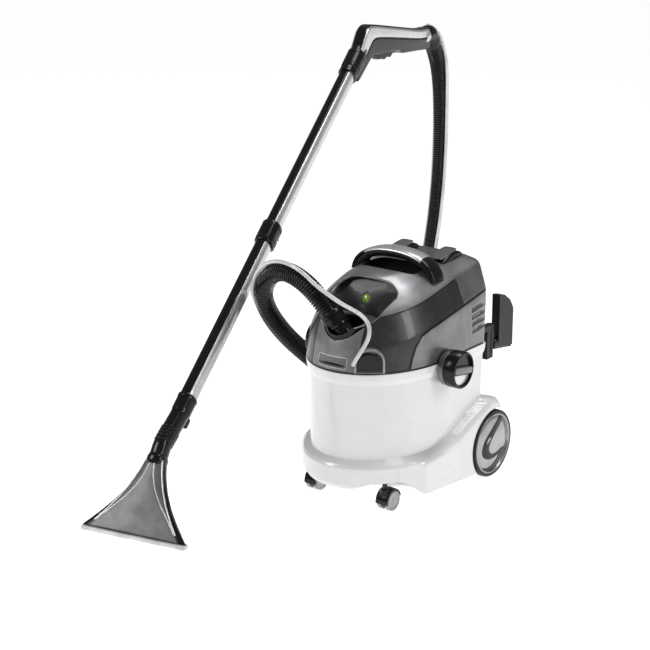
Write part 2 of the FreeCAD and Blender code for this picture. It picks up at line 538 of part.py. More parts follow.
def make_wand():
    climb = math.radians(tube_angle)
    def tube_point(along):
        return low_joint_v + along * math.cos(climb), low_joint_z + along * math.sin(climb)
    def on_tube(along, shape):
        v, z = tube_point(along)
        return in_plane(v, z, tube_angle, shape)
    channel = stadium(tube_width - 4, tube_depth - 4, -600, 1400)
    sleeve_half = 26.0
    lower = stadium(tube_width, tube_depth, -430, 430 - sleeve_half).cut(channel)
    upper = stadium(tube_width, tube_depth, sleeve_half, tube_visible - 2 * sleeve_half).cut(channel)
    parts["lower_tube"] = on_tube(0, lower)
    parts["upper_tube"] = on_tube(0, upper)

    def sleeve(centre, half_length):
        return stadium(tube_width + 8, tube_depth + 10, centre - half_length, 2 * half_length).cut(channel)
    sockets = {}
    for name, centre in {"lower": 0.0, "upper": tube_visible}.items():
        lug = box(centre - 16, centre + 16, -9, 9, -32, -20)
        pocket = box(centre - 11.6, centre + 11.6, -6.6, 6.6, -60, -21.2)
        sockets[name] = on_tube(0, sleeve(centre, sleeve_half).fuse(lug).cut(pocket).removeSplitter())
        button = box(centre - 11, centre + 11, -6, 6, -35, -24)
        parts[name + "_latch"] = on_tube(0, button)
    parts["tube_sleeve"] = sockets["lower"]
    upper_pocket = on_tube(tube_visible, box(-11.6, 11.6, -6.6, 6.6, -60, -21.2))

    # floor nozzle: neck elbow, clear window, back plate and lip
    neck_v = nozzle_length * math.cos(math.radians(nozzle_angle))
    neck_z = 9 + nozzle_length * math.sin(math.radians(nozzle_angle))
    stations = [(0, 112.5, -7, 7), (14, 99, -8, 8), (34, 81, -9, 9), (60, 60, -11, 11), (90, 41, -13, 13),
                (120, 27, -15, 15), (nozzle_length, 19, -16, 16)]
    hollow = [(x - (1 if x == 0 else 0), half - 2.5, low + 2.5, high - 2.5) for x, half, low, high in stations]
    hollow.append((nozzle_length + 1, 16.5, -13.5, 13.5))
    flare = block_loft(stations).cut(block_loft(hollow))
    cut_low = box(-20, 300, -200, 200, -60, 0.1)
    cut_high = box(-20, 300, -200, 200, -0.1, 60)
    lay = (0, 9.0, nozzle_angle)
    trim = in_plane(0, 0, 0, box(-100, 100, -200, 200, -50, 9.2))
    parts["nozzle_window"] = in_plane(*lay, flare.cut(cut_low)).cut(trim)
    parts["nozzle_back"] = in_plane(*lay, flare.cut(cut_high)).cut(trim)
    lip = box(-8, 10, -lip_width / 2, lip_width / 2, 0, 9).cut(box(-3, 4, -lip_width / 2 + 5, lip_width / 2 - 5, -1, 10))
    parts["nozzle_lip"] = in_plane(0, 0, 0, lip)
    ring_piece = stadium(34, 42, nozzle_length - 8, 18).cut(block_loft([
        (x, half + 0.3, low - 0.3, high + 0.3) for x, half, low, high in stations])).cut(
        stadium(24, 30, nozzle_length - 12, 40))
    start_v = (nozzle_length + 10) * math.cos(math.radians(nozzle_angle))
    start_z = 9 + (nozzle_length + 10) * math.sin(math.radians(nozzle_angle))
    end_v, end_z = tube_point(-430)
    turn_v = start_v + 22 * math.cos(math.radians(nozzle_angle))
    turn_z = start_z + 22 * math.sin(math.radians(nozzle_angle))
    run = math.hypot(end_v - turn_v, end_z - turn_z)
    run_angle = math.degrees(math.atan2(end_z - turn_z, end_v - turn_v))
    def neck_leg(width, depth, extra):
        first = in_plane(start_v, start_z, nozzle_angle, stadium(width, depth, -extra, 22 + extra))
        knee = in_plane(turn_v, turn_z, 0, Part.makeSphere(depth / 2 - 1.3, Vector(0, 0, 0)))
        second = in_plane(turn_v, turn_z, run_angle, stadium(width, depth, 0, run - 2.5 + 2 * extra))
        return join([first, knee, second])
    neck = neck_leg(34, 40, 0).cut(neck_leg(24, 30, 4))
    knob_seat = in_plane(end_v, end_z, tube_angle, box(-34, 0, -9, 9, -32, -15))
    knob_pocket = in_plane(end_v, end_z, tube_angle, box(-31.6, -8.4, -6.6, 6.6, -33, -24))
    tube_end = stadium(tube_width + 7, tube_depth + 8, -452, 40).cut(
        stadium(tube_width + 0.2, tube_depth + 0.2, -430, 60))
    neck = join([neck, knob_seat, on_tube(0, tube_end), in_plane(*lay, ring_piece)])
    neck = neck.cut(neck_leg(24, 30, 4)).cut(knob_pocket)
    parts["nozzle_neck"] = max(neck.Solids, key=lambda solid: solid.Volume)
    parts["nozzle_latch"] = in_plane(end_v, end_z, tube_angle, box(-31, -9, -6, 6, -36, -26.8))
    parts["spray_jet"] = in_plane(*lay, box(22, 46, -7, 7, -26, -10.6).fuse(rod(3, (6, 0, -18), (24, 0, -18))))

    # pistol handle
    top_line = [(902, 738), (950, 770), (984, 817), (1004, 824), (1030, 821), (1286, 782), (1346, 781)]
    outline = top_line + [(1346, 730), (1240, 737), (1180, 740), (1168, 750), (1020, 758),
                          (1012, 757), (978, 734), (927, 706)]
    band = top_line + [(1346, 762), (1286, 763), (1030, 797), (1010, 790), (926, 722)]
    body = wand_prism(outline, 14).cut(wand_prism(band, 30))
    pocket = wand_prism([(1036, 730), (1160, 730), (1160, 765), (1036, 772)], 7.6)
    socket = on_tube(0, stadium(tube_width + 7, tube_depth + 9, 300, tube_visible + sleeve_half - 300))
    tube_space = on_tube(0, stadium(tube_width + 0.4, tube_depth + 0.4, 300, tube_visible + sleeve_half - 300))
    body = body.cut(pocket).cut(socket).fuse(sockets["upper"]).cut(upper_pocket)
    grown = on_tube(0, stadium(tube_width + 8.6, tube_depth + 10.6, 300, tube_visible + sleeve_half + 0.4 - 300))
    top_shell = wand_prism(band, 15.5).cut(grown)
    trigger = [(1042, 750), (1056, 742), (1084, 745), (1112, 738), (1140, 741), (1154, 748), (1154, 758), (1042, 762)]
    pivot = in_plane(1149, 753, 0, rod(2.5, (0, -11, 0), (0, 11, 0)))
    pivot_bore = in_plane(1149, 753, 0, rod(2.5 + running_gap, (0, -11.3, 0), (0, 11.3, 0)))
    parts["spray_trigger"] = join([wand_prism(trigger, 7), pivot])
    mouth = Vector(*hose_route[-1])
    out = (Vector(*hose_route[-2]) - mouth).normalize()
    knee = mouth - out * 38
    cuff = rod(21.5, tuple(knee), tuple(mouth))
    heading = Vector(math.cos(math.radians(wand_heading)), math.sin(math.radians(wand_heading)), 0.0)
    collar = rod(20.4, tuple(knee - heading * 24), tuple(knee)).fuse(Part.makeSphere(20.6, knee))
    hole = rod(17, tuple(mouth - out * 30), tuple(mouth + out * 4))
    line_start = Vector(*line_route[-1])
    line_seat = rod(6, tuple(line_start), tuple(line_start + (line_start - Vector(*line_route[-2])).normalize() * 16))
    cuff_solid = cuff.fuse(collar).fuse(line_seat)
    parts["hose_cuff"] = cuff_solid.cut(hole)
    body = body.cut(cuff_solid).cut(tube_space).cut(pivot_bore)
    parts["handle_body"] = max(body.Solids, key=lambda solid: solid.Volume)
    parts["handle_top"] = max(top_shell.cut(cuff_solid).Solids, key=lambda solid: solid.Volume)


# ---- hose and spray line ----

def cord_tube(route, diameter, name, bore=0.0):
    # straight runs joined by tangent arcs, each as large as its two runs allow; the hose is hollow
    points = [Vector(*point) for point in route]
    edges = []
    radii = []
    last = points[0]
    for before, corner, after in zip(points, points[1:], points[2:]):
        into = (corner - before)
        away = (after - corner)
        turn = into.getAngle(away)
        reach = 0.45 * min(into.Length, away.Length)
        radii.append(reach / math.tan(turn / 2))
        into.normalize()
        away.normalize()
        start = corner - into * reach
        end = corner + away * reach
        bisector = (away - into).normalize()
        middle = corner + bisector * (radii[-1] / math.cos(turn / 2) - radii[-1])
        edges.append(Part.LineSegment(last, start).toShape())
        edges.append(Part.Arc(start, middle, end).toShape())
        last = end
    edges.append(Part.LineSegment(last, points[-1]).toShape())
    path = Part.Wire(edges)
    def sweep(width):
        section = Part.Wire(Part.makeCircle(width / 2, points[0], points[1] - points[0]))
        return path.makePipeShell([section], True, False)
    solid = sweep(diameter).cut(sweep(bore)) if bore else sweep(diameter)
    expected = path.Length * math.pi * (diameter ** 2 - bore ** 2) / 4
    print(name, "length", round(path.Length), "radii", [round(radius) for radius in radii],
          "volume ratio", round(solid.Volume / expected, 4))
    parts[name] = solid


make_container()
for side in ("right", "left"):
    make_rear_wheel(side)
    make_caster(side)
make_head()
make_wand()
cord_tube(hose_route, hose_diameter, "suction_hose", hose_bore)
cord_tube(line_route, line_diameter, "spray_line")

os.makedirs("parts", exist_ok=True)
for name, shape in parts.items():
    shape.exportStep("parts/" + name + ".step")
print(len(parts), "nodes")
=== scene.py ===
# Spray-extraction carpet cleaner: materials, shells, hose and studio.
import json
import math
import bpy
import numpy as np
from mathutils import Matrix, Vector


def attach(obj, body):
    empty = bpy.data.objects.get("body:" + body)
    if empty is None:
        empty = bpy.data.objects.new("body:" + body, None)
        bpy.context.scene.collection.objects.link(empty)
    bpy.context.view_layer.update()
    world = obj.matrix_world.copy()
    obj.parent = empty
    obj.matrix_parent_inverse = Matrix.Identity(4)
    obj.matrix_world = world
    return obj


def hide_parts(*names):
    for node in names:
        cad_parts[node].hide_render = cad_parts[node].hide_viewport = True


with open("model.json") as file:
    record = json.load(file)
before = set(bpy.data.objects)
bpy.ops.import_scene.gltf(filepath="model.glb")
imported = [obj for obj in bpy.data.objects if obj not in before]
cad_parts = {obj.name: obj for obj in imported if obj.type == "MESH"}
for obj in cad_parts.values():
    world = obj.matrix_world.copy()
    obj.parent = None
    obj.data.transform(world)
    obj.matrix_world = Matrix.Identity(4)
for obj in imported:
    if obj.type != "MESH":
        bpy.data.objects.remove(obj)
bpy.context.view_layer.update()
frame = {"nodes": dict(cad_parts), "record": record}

mm = 0.001
print("stage: frame loaded")


# ---- shader sums ----

class Signal:
    # one socket of a node tree, which can be added, multiplied and compared
    def __init__(self, look, socket):
        self.look, self.socket = look, socket

    def sum(self, operation, first, second=0.0):
        return self.look.node("ShaderNodeMath", {"operation": operation}, [first, second])

    def __add__(self, other): return self.sum("ADD", self, other)
    def __radd__(self, other): return self.sum("ADD", other, self)
    def __sub__(self, other): return self.sum("SUBTRACT", self, other)
    def __rsub__(self, other): return self.sum("SUBTRACT", other, self)
    def __mul__(self, other): return self.sum("MULTIPLY", self, other)
    def __rmul__(self, other): return self.sum("MULTIPLY", other, self)
    def __truediv__(self, other): return self.sum("DIVIDE", self, other)

    def between(self, low, high):
        # 0 under low, 1 over high, smooth on the way
        return self.look.node("ShaderNodeMapRange", {"interpolation_type": "SMOOTHSTEP"}, [self, low, high])


class Look:
    # one material: a Principled shader, and the nodes that feed it
    def __init__(self, name):
        self.material = bpy.data.materials.new(name)
        self.material.use_nodes = True
        self.tree = self.material.node_tree
        self.shader = self.tree.nodes["Principled BSDF"]
        self.place = None

    def node(self, kind, settings=None, inputs=(), output=0):
        made = self.tree.nodes.new(kind)
        for key, value in (settings or {}).items():
            setattr(made, key, value)
        pairs = inputs.items() if isinstance(inputs, dict) else enumerate(inputs)
        for key, value in pairs:
            if isinstance(value, Signal):
                self.tree.links.new(value.socket, made.inputs[key])
            else:
                made.inputs[key].default_value = value
        return Signal(self, made.outputs[output])

    def point(self):
        if self.place is None:
            self.place = self.node("ShaderNodeTexCoord", output="Object")
        return self.place

    def noise(self, scale, detail=2.0):
        return self.node("ShaderNodeTexNoise", {}, {"Vector": self.point(), "Scale": scale, "Detail": detail})

    def mix(self, factor, first, second):
        made = self.tree.nodes.new("ShaderNodeMix")
        made.data_type = "RGBA"
        for key, value in ((0, factor), (6, first), (7, second)):
            if isinstance(value, Signal):
                self.tree.links.new(value.socket, made.inputs[key])
            else:
                made.inputs[key].default_value = value if key == 0 else (*value, 1.0)
        return Signal(self, made.outputs[2])

    def feed(self, **sockets):
        for key, value in sockets.items():
            target = self.shader.inputs[key.replace("_", " ")]
            if isinstance(value, Signal):
                self.tree.links.new(value.socket, target)
            else:
                target.default_value = (*value, 1.0) if isinstance(value,
                tuple) and len(value) == 3 else value

    def bump(self, height, strength, distance):
        self.feed(Normal=self.node("ShaderNodeBump", {}, {
            "Height": height, "Strength": strength, "Distance": distance}))


def shade(colour, factor):
    return tuple(min(1.0, part * factor) for part in colour)


def moulded(name, colour, roughness, grain=0.15, coat=0.0, metallic=0.0, spread=0.12, gleam=0.5):
    # moulded plastic: faint mottle, uneven gloss and a fine spark-eroded grain
    look = Look(name)
    mottle = look.noise(28.0, 3.0)
    look.feed(Base_Color=look.mix(mottle.between(0.35, 0.65), shade(colour, 1 - spread),
                                  shade(colour, 1 + spread)),
              Roughness=roughness + (look.noise(90.0, 4.0) - 0.5) * 0.16,
              Metallic=metallic, Coat_Weight=coat, Coat_Roughness=0.06, Specular_IOR_Level=gleam)
    look.bump(look.noise(1500.0, 2.0), grain, 0.0002)
    return look.material


looks = {
    "white_shell": moulded("whiteShell", (0.75, 0.755, 0.76), 0.24, 0.05, 0.5, 0.0, 0.015),
    "hood_grey": moulded("graphiteHood", (0.25, 0.254, 0.26), 0.38, 0.05, 0.25, 0.75),
    # painted shade: the hood's graphite paint made darker, for the side panels that turn away from the light
    # below the crease
    "panel_dark": moulded("sidePanelPaintedShade", (0.045, 0.046, 0.048), 0.34, 0.05, 0.2, 0.6),
    "base_grey": moulded("baseGrey", (0.2, 0.203, 0.208), 0.34, 0.06, 0.25, 0.75),
    "eye_dark": moulded("eyeFaceGrey", (0.035, 0.035, 0.037), 0.4, 0.06, 0.15, 0.5),
    "black_trim": moulded("blackTrim", (0.006, 0.006, 0.0065), 0.2, 0.04, 0.0, gleam=0.3),
    "black_matte": moulded("blackMatte", (0.008, 0.008, 0.0085), 0.4, 0.25, gleam=0.3),
    "seal_rubber": moulded("sealRubber", (0.012, 0.012, 0.012), 0.6, 0.3),
    "silver_plastic": moulded("silverPlastic", (0.66, 0.665, 0.67), 0.3, 0.0, 0.3, 0.75, 0.04),
    "switch_grey": moulded("switchGrey", (0.5, 0.51, 0.52), 0.32, 0.06, 0.3),
    "lens_green": moulded("lensGreen", (0.24, 0.42, 0.03), 0.08, 0.0, 1.0),
    "wheel_grey": moulded("wheelGrey", (0.36, 0.365, 0.37), 0.34, 0.05, 0.3, 0.75),
    "tyre_black": moulded("tyreBlack", (0.008, 0.008, 0.008), 0.36, 0.3, gleam=0.25),
    "caster_grey": moulded("casterGrey", (0.3, 0.305, 0.31), 0.36, 0.1, 0.1, 0.4),
    "axle_steel": moulded("axleSteel", (0.5, 0.5, 0.51), 0.3, 0.05, 0.0, 1.0),
    "tank_grey": moulded("tankGrey", (0.42, 0.43, 0.44), 0.45, 0.15),
    "tube_grey": moulded("tubeGrey", (0.16, 0.162, 0.165), 0.3, 0.03, 0.2, 0.5),
    "window_clear": moulded("windowClear", (0.13, 0.132, 0.135), 0.42, 0.02, 0.12, 0.3),
    "lip_white": moulded("lipWhite", (0.72, 0.72, 0.72), 0.32, 0.08),
    "hose_black": moulded("hoseBlack", (0.006, 0.006, 0.0065), 0.2, 0.05, 0.0, gleam=0.45),
    "line_clear": moulded("lineClear", (0.62, 0.63, 0.64), 0.18, 0.02, 0.6),
    "motor_metal": moulded("motorMetal", (0.25, 0.25, 0.26), 0.4, 0.1, 0.0, 0.8),
}
slotOf = {part["node"]: part["material_slot"] for part in frame["record"]["subparts"]}
for nodeName, thing in frame["nodes"].items():
    thing.data.materials.clear()
    thing.data.materials.append(looks[slotOf[nodeName]])
print("stage: materials on the frame")


# ---- mesh makers ----

def meshPiece(name, points, faces, look, body, stands=(), crease=38.0, slots=None):
    # points are in millimetres of the shared frame
    mesh = bpy.data.meshes.new(name)
    mesh.from_pydata((np.asarray(points, float).reshape(-1, 3) * mm).tolist(), [], [list(f) for f in faces])
    mesh.validate()
    for entry in (look if isinstance(look, (list, tuple)) else [look]):
        mesh.materials.append(entry)
    if slots is not None:
        mesh.polygons.foreach_set("material_index", np.asarray(slots, np.int32))
    mesh.shade_smooth()
    mesh.set_sharp_from_angle(angle=math.radians(crease))
    thing = bpy.data.objects.new(name, mesh)
    bpy.context.scene.collection.objects.link(thing)
    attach(thing, body)
    if stands:
        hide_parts(*stands)
    return thing


def gridFaces(rows, columns, wrapRows=False, wrapColumns=False):
    lastRow = rows if wrapRows else rows - 1
    lastColumn = columns if wrapColumns else columns - 1
    r, c = np.meshgrid(np.arange(lastRow), np.arange(lastColumn), indexing="ij")
    after, beside = (r + 1) % rows, (c + 1) % columns
    corners = [r * columns + c, r * columns + beside, after * columns + beside, after * columns + c]
    return np.stack(corners, -1).reshape(-1, 4).tolist()


def ringStack(rings, closeStart=True, closeEnd=True, wrap=False):
    # rings: rows of closed loops, the ends closed with one face each
    rings = np.asarray(rings, float)
    rows, columns = rings.shape[:2]
    faces = gridFaces(rows, columns, wrap, True)
    if not wrap and closeStart:
        faces.append(list(range(columns))[::-1])
    if not wrap and closeEnd:
        faces.append(list(range((rows - 1) * columns, rows * columns)))
    return rings.reshape(-1, 3), faces


def turned(profile, centre, axis, steps=96, start=(0, 0, 1)):
    # profile rows are (radius, distance along the axis); closed round the loop
    axis = np.array(axis, float) / np.linalg.norm(axis)
    up = np.array(start, float)
    up = up - axis * up.dot(axis)
    up /= np.linalg.norm(up)
    side = np.cross(axis, up)
    angle = np.linspace(0, 2 * math.pi, steps, endpoint=False)
    spoke = np.cos(angle)[:, None] * up + np.sin(angle)[:, None] * side
    rows = [np.array(centre, float) + axis * along + spoke * max(radius, 0.02) for radius, along in profile]
    return ringStack(rows)


def rounded(outline, share=0.25, rounds=3):
    # corner cutting: each corner is replaced by two points on its sides
    points = np.array(outline, float)
    for turn in range(rounds):
        after = np.roll(points, -1, axis=0)
        cut = share if turn == 0 else 0.25
        points = np.stack([points * (1 - cut) + after * cut, points * cut + after * (1 - cut)],
                          1).reshape(-1, points.shape[1])
    return points


def inset(outline, depth):
    # moves a closed outline in along its own normals
    points = np.asarray(outline, float)
    run = np.roll(points, -1, axis=0) - np.roll(points, 1, axis=0)
    run /= np.maximum(np.linalg.norm(run, axis=1, keepdims=True), 1e-9)
    area = 0.5 * np.sum(points[:, 0] * np.roll(points[:, 1], -1) - np.roll(points[:, 0], -1) * points[:, 1])
    normal = np.stack([-run[:, 1], run[:, 0]], 1) * np.sign(area)
    return points + normal * depth


def pillow(outline, low, high, edge, place, steps=5):
    # an outline pushed out from low to high, its edges rounded over by edge
    turns = np.linspace(0, math.pi / 2, steps)
    rows = [(edge * (1 - math.sin(t)), low + edge * (1 - math.cos(t))) for t in turns]
    rows += [(edge * (1 - math.cos(t)), high - edge * (1 - math.sin(t))) for t in turns]
    loops = []
    for depth, level in rows:
        loop = inset(outline, depth)
        loops.append(place(loop[:, 0], np.full(len(loop), level), loop[:, 1]))
    points, faces = ringStack(loops)
    return points, faces


def clip(points, faces, field):
    # keeps the part of a mesh where the field is positive; cut edges are measured, not stepped
    points = np.asarray(points, float)
    value = field(points)
    inside = value >= 0
    kept, extra, made = [], [], {}
    for face in faces:
        state = inside[face]
        if state.all():
            kept.append(list(face))
        elif state.any():
            loop = []
            for here, there in zip(face, list(face[1:]) + [face[0]]):
                if inside[here]:
                    loop.append(here)
                if inside[here] != inside[there]:
                    key = (min(here, there), max(here, there))
                    if key not in made:
                        share = value[key[0]] / (value[key[0]] - value[key[1]])
                        made[key] = len(points) + len(extra)
                        extra.append(points[key[0]] + (points[key[1]] - points[key[0]]) * share)
                    loop.append(made[key])
            if len(loop) > 2:
                kept.append(loop)
    allPoints = np.vstack([points, np.array(extra)]) if extra else points
    used = np.unique(np.concatenate([np.array(f) for f in kept])) if kept else np.array([], int)
    renumber = np.full(len(allPoints), -1)
    renumber[used] = np.arange(len(used))
    return allPoints[used], [[int(renumber[k]) for k in f] for f in kept]


def smoothLine(points, count):
    # a quadratic spline through the middles of the legs
    points = np.asarray(points, float)
    fine = [points[0]]
    middles = (points[1:] + points[:-1]) / 2
    t = np.linspace(0, 1, 12)[:, None]
    for before, corner, after in zip(middles, points[1:-1], middles[1:]):
        fine.append((1 - t) ** 2 * before + 2 * t * (1 - t) * corner + t * t * after)
    line = np.vstack([fine[0][None], *fine[1:], points[-1][None]])
    run = np.concatenate([[0], np.cumsum(np.linalg.norm(np.diff(line, axis=0), axis=1))])
    at = np.linspace(0, run[-1], count)
    return np.stack([np.interp(at, run, line[:, k]) for k in range(line.shape[1])], 1)


def thicken(thing, depth, bevel=0.0):
    shell = thing.modifiers.new("wall", "SOLIDIFY")
    shell.thickness, shell.offset, shell.use_even_offset = depth * mm, -1, False
    if bevel:
        edge = thing.modifiers.new("edge", "BEVEL")
        edge.width, edge.segments, edge.limit_method = bevel * mm, 2, "ANGLE"
        edge.angle_limit = math.radians(50)
    return thing


def smoothStep(value, low, high):
    share = np.clip((value - low) / (high - low), 0, 1)
    return share * share * (3 - 2 * share)


def softMost(first, second, reach):
    blend = np.clip(0.5 + 0.5 * (first - second) / reach, 0, 1)
    return second * (1 - blend) + first * blend + reach * blend * (1 - blend)


# ---- suction head ----

headSizes = {"rim": (136, -178, 157, 284, 0, 0), "stripe": (129.5, -168.5, 171, 357, 0.18, 0),
             "crease": (109, -151, 176, 405, 0.19, 0), "shoulder": (78, -102, 168, 431, 0.10, 8),
             "crown": (47, -54, 156, 444, 0.02, 14), "ease": 7.0, "corner": 18.0, "rows": 150,
             "bow": 230, "side": 70, "bend": 14, "rear": 60}


def headRows():
    # half width, front, rear, height at y 0, slope and centre of every row from the rim to the crown
    keys = np.array([headSizes[k] for k in ("rim", "stripe", "crease", "shoulder", "crown")], float)
    keys = np.vstack([keys, (0.8, 21.8, 24.2, 445.4, 0, 23)])
    climb = np.concatenate([[0], np.cumsum(np.hypot(np.diff(keys[:, 3]), np.diff(keys[:, 0])))])
    dense = np.linspace(0, climb[-1], 600)
    rows = np.stack([np.interp(dense, climb, keys[:, k]) for k in range(6)], 1)
    reach = headSizes["ease"] * 600 / climb[-1]
    weights = np.exp(-0.5 * (np.arange(-40, 41) / reach) ** 2)
    soft = np.stack([np.convolve(np.pad(rows[:, k], 40, mode="reflect", reflect_type="odd"),
                                 weights / weights.sum(), "valid") for k in range(6)], 1)
    pick = np.linspace(0, 599, headSizes["rows"]).astype(int)
    return soft[pick]


def ringOutline(a, front, rear, centre, corner, counts):
    # half an ellipse in front, straight sides and round rear corners, from the rear middle anticlockwise
    bow, side, bend, back = counts
    t = np.linspace(0, 1, back // 2, endpoint=False)
    rightBack = np.stack([t * (a - corner), np.full_like(t, rear)], 1)
    t = np.linspace(math.pi / 2, 0, bend, endpoint=False)
    rightBend = np.stack([a - corner + corner * np.cos(t), rear - corner + corner * np.sin(t)], 1)
    t = np.linspace(0, 1, side, endpoint=False)
    rightSide = np.stack([np.full_like(t, a), rear - corner + t * (centre - rear + corner)], 1)
    t = np.linspace(0, math.pi, bow + 1)
    front = np.stack([a * np.cos(t), centre - (centre - front) * np.sin(t)], 1)
    half = np.vstack([rightBack, rightBend, rightSide])
    left = half[1:][::-1] * [-1, 1]
    return np.vstack([half, front, left])[::-1]


headCounts = tuple(headSizes[k] for k in ("bow", "side", "bend", "rear"))
headTable = headRows()


def headGrid(shrink=0.0):
    loops = []
    for a, front, rear, z, slope, centre in headTable:
        a, front, rear = a - shrink, front + shrink, rear - shrink
        plan = ringOutline(a, front, rear, centre, min(headSizes["corner"], a * 0.6), headCounts)
        loops.append(np.column_stack([plan, z - shrink * 0.6 * (z > 400) + slope * plan[:, 1]]))
    return np.array(loops)


def headInside(points, shrink=0.0):
    # positive inside the head: the row at the point's height is found, then its outline is measured
    x, y, z = points.T
    levels = headTable[:, 3] + np.outer(y, headTable[:, 4])
    row = np.clip((levels < z[:, None]).sum(1) - 1, 0, len(headTable) - 2)
    pick = np.arange(len(z))
    share = np.clip((z - levels[pick, row]) / (levels[pick, row + 1] - levels[pick, row]), 0, 1)[:, None]
    a, front, rear, _, _, centre = (headTable[row] * (1 - share) + headTable[row + 1] * share).T
    a, front, rear = a - shrink, front + shrink, rear - shrink
    bow = (1 - np.sqrt((x / a) ** 2 + ((y - centre) / (centre - front)) ** 2)) * a
    block = np.minimum(a - np.abs(x), rear - y)
    inside = np.where(y < centre, bow, block)
    return np.minimum(inside, levels[pick, -1] - z)


stripeKnots = {"y": (-96, -91, -86, -80, -70, -55, -30, -1, 78, 165, 300),
               "z": (240, 268, 288, 305, 325, 342, 352, 357.5, 371, 387, 411)}


def stripeGap(points):
    # how far a point of the side lies above the black stripe, measured square to it
    y, z = points[:, 1], points[:, 2]
    fineY = np.linspace(-96, 300, 400)
    fineZ = np.interp(fineY, stripeKnots["y"], stripeKnots["z"])
    kernel = np.hanning(9)
    fineZ = np.convolve(np.pad(fineZ, 4, mode="edge"), kernel / kernel.sum(), "valid")
    height = z - np.interp(y, fineY, fineZ)
    steep = np.interp(y, fineY, np.gradient(fineZ, fineY))
    return np.where(y < -96, 60.0, height / np.sqrt(1 + steep ** 2))


def creaseGap(points):
    return points[:, 2] - 405 - 0.19 * points[:, 1]


pocket = {"footY": -80.0, "footZ": 360.0, "lean": 0.425, "floor": 334.0,
          "edge": [(0, 337), (26, 343), (46, 362), (60, 375), (68, 386), (73.5, 400), (74.5, 409), (69, 421),
                   (50, 432), (25, 437.5), (0, 438.5)]}
pocketLine = np.array(pocket["edge"] + [(-0.82 * x, z) for x, z in pocket["edge"][-2:0:-1]], float)
pocketLine = smoothLine(np.vstack([pocketLine, pocketLine[:1]]), 90)[:-1]


def outlineDepth(points, line):
    # distance in from a closed outline, negative outside it
    nearest, crossings = np.full(len(points), 1e9), np.zeros(len(points), int)
    for start, end in zip(line, np.roll(line, -1, axis=0)):
        leg, away = end - start, points - start
        share = np.clip(away @ leg / (leg @ leg), 0, 1)
        nearest = np.minimum(nearest, np.hypot(*(away - share[:, None] * leg).T))
        if start[1] != end[1]:
            between = (points[:, 1] < start[1]) != (points[:, 1] < end[1])
            crossings += between & (points[:, 0] < start[0] + (points[:, 1] - start[1]) * leg[0] / leg[1])
    return np.where(crossings % 2, nearest, -nearest)


def eyeDepth(points):
    # how far a point lies in front of the eye face, a dish whose sides come forward towards the bottom
    x, y, z = points.T
    cup = 0.0095 * (1 - smoothStep(z, 380, 420)) + 0.0008
    return pocket["footY"] + (z - pocket["footZ"]) * pocket["lean"] - cup * x * x - y


def pocketGap(points, grow=0.0):
    # positive inside the eye recess: within its outline seen from the front, and in front of its face
    near = (points[:, 1] < -40) & (np.abs(points[:, 0]) < 80)
    depth = np.full(len(points), -30.0)
    depth[near] = outlineDepth(points[near][:, [0, 2]], pocketLine)
    return np.where(points[:, 2] > pocket["footZ"], np.minimum(depth, eyeDepth(points)), depth) + grow


tray = {"halfX": 62.0, "midY": 23.0, "halfY": 37.0, "floor": 402.0, "power": 3.2}


def trayGap(points, grow=0.0):
    x, y, z = points.T
    reach = (np.abs(x / tray["halfX"]) ** tray["power"] +
             np.abs((y - tray["midY"]) / tray["halfY"]) ** tray["power"])
    return np.where(z > 380, (1 - reach ** (1 / tray["power"])) * tray["halfY"], -50.0) + grow


def buttonGap(points, grow=0.0):
    x, y, z = points.T
    across, up = np.abs(x) - 31 + 3, np.abs(z - 299.4) - 9 + 3
    outside = np.hypot(np.maximum(across, 0), np.maximum(up, 0)) + np.minimum(np.maximum(across, up), 0) - 3
    return np.where(y < -120, -outside, -50.0) + grow


panelGap = 0.55
headLoops = headGrid()
headPoints = headLoops.reshape(-1, 3)
headFaces = gridFaces(*headLoops.shape[:2], False, True)
panelWall = 2.2


def headPanel(name, look, fields, stands, body="head", wall=panelWall, bevel=0.35, lift=0.0, crown=False):
    # the part of the head's skin where every field is positive, with its own wall
    points, faces = headPoints, headFaces
    if crown:
        faces = faces + [list(range(len(points) - headLoops.shape[1], len(points)))]
    for field in fields:
        points, faces = clip(points, faces, field)
    if lift:
        flat = points - [0, 10, 330]
        points = points + flat / np.linalg.norm(flat, axis=1, keepdims=True) * lift
    piece = meshPiece(name, points, faces, look, body, stands, 30)
    return thicken(piece, wall, bevel)


def frontZone(points):
    return np.where(points[:, 1] < -60, 52 - np.abs(points[:, 0]), -50.0)


hoodFields = [lambda p: np.maximum(creaseGap(p), frontZone(p)) - panelGap, lambda p: p[:, 2] - 284.6,
              lambda p: 64 - p[:, 1] - panelGap, lambda p: -pocketGap(p), lambda p: -trayGap(p),
              lambda p: -buttonGap(p, 1.0)]
headPanel("hoodShell", looks["hood_grey"], hoodFields, ["front_hood"], crown=True)
# painted shade: the side panels below the crease take the darker copy of the hood's paint
for side, sign in (("Right", 1), ("Left", -1)):
    sideFields = [lambda p: -np.maximum(creaseGap(p), frontZone(p)) - panelGap, lambda p: stripeGap(p) - 2.4,
                  lambda p: p[:, 0] * sign, lambda p: 80 - p[:, 1] - panelGap, lambda p: p[:, 2] - 284.6,
                  lambda p: -pocketGap(p), lambda p: -buttonGap(p, 1.0)]
    headPanel("sidePanel" + side, looks["panel_dark"], sideFields, ["side_panel_" + side.lower()])
headPanel("stripeBead", looks["black_trim"], [lambda p: 2.2 - np.abs(stripeGap(p)), lambda p: p[:, 2] - 284.6,
                                             lambda p: 172 - p[:, 1]], [], lift=0.25)
headPanel("baseSkirt", looks["base_grey"], [lambda p: -2.4 - stripeGap(p), lambda p: 92 - p[:, 1]],
          ["head_base"])
ribs = {"first": 309.0, "pitch": 14.0, "slope": 0.12, "frontY": 106.0, "rearY": 150.0, "depth": 3.6}


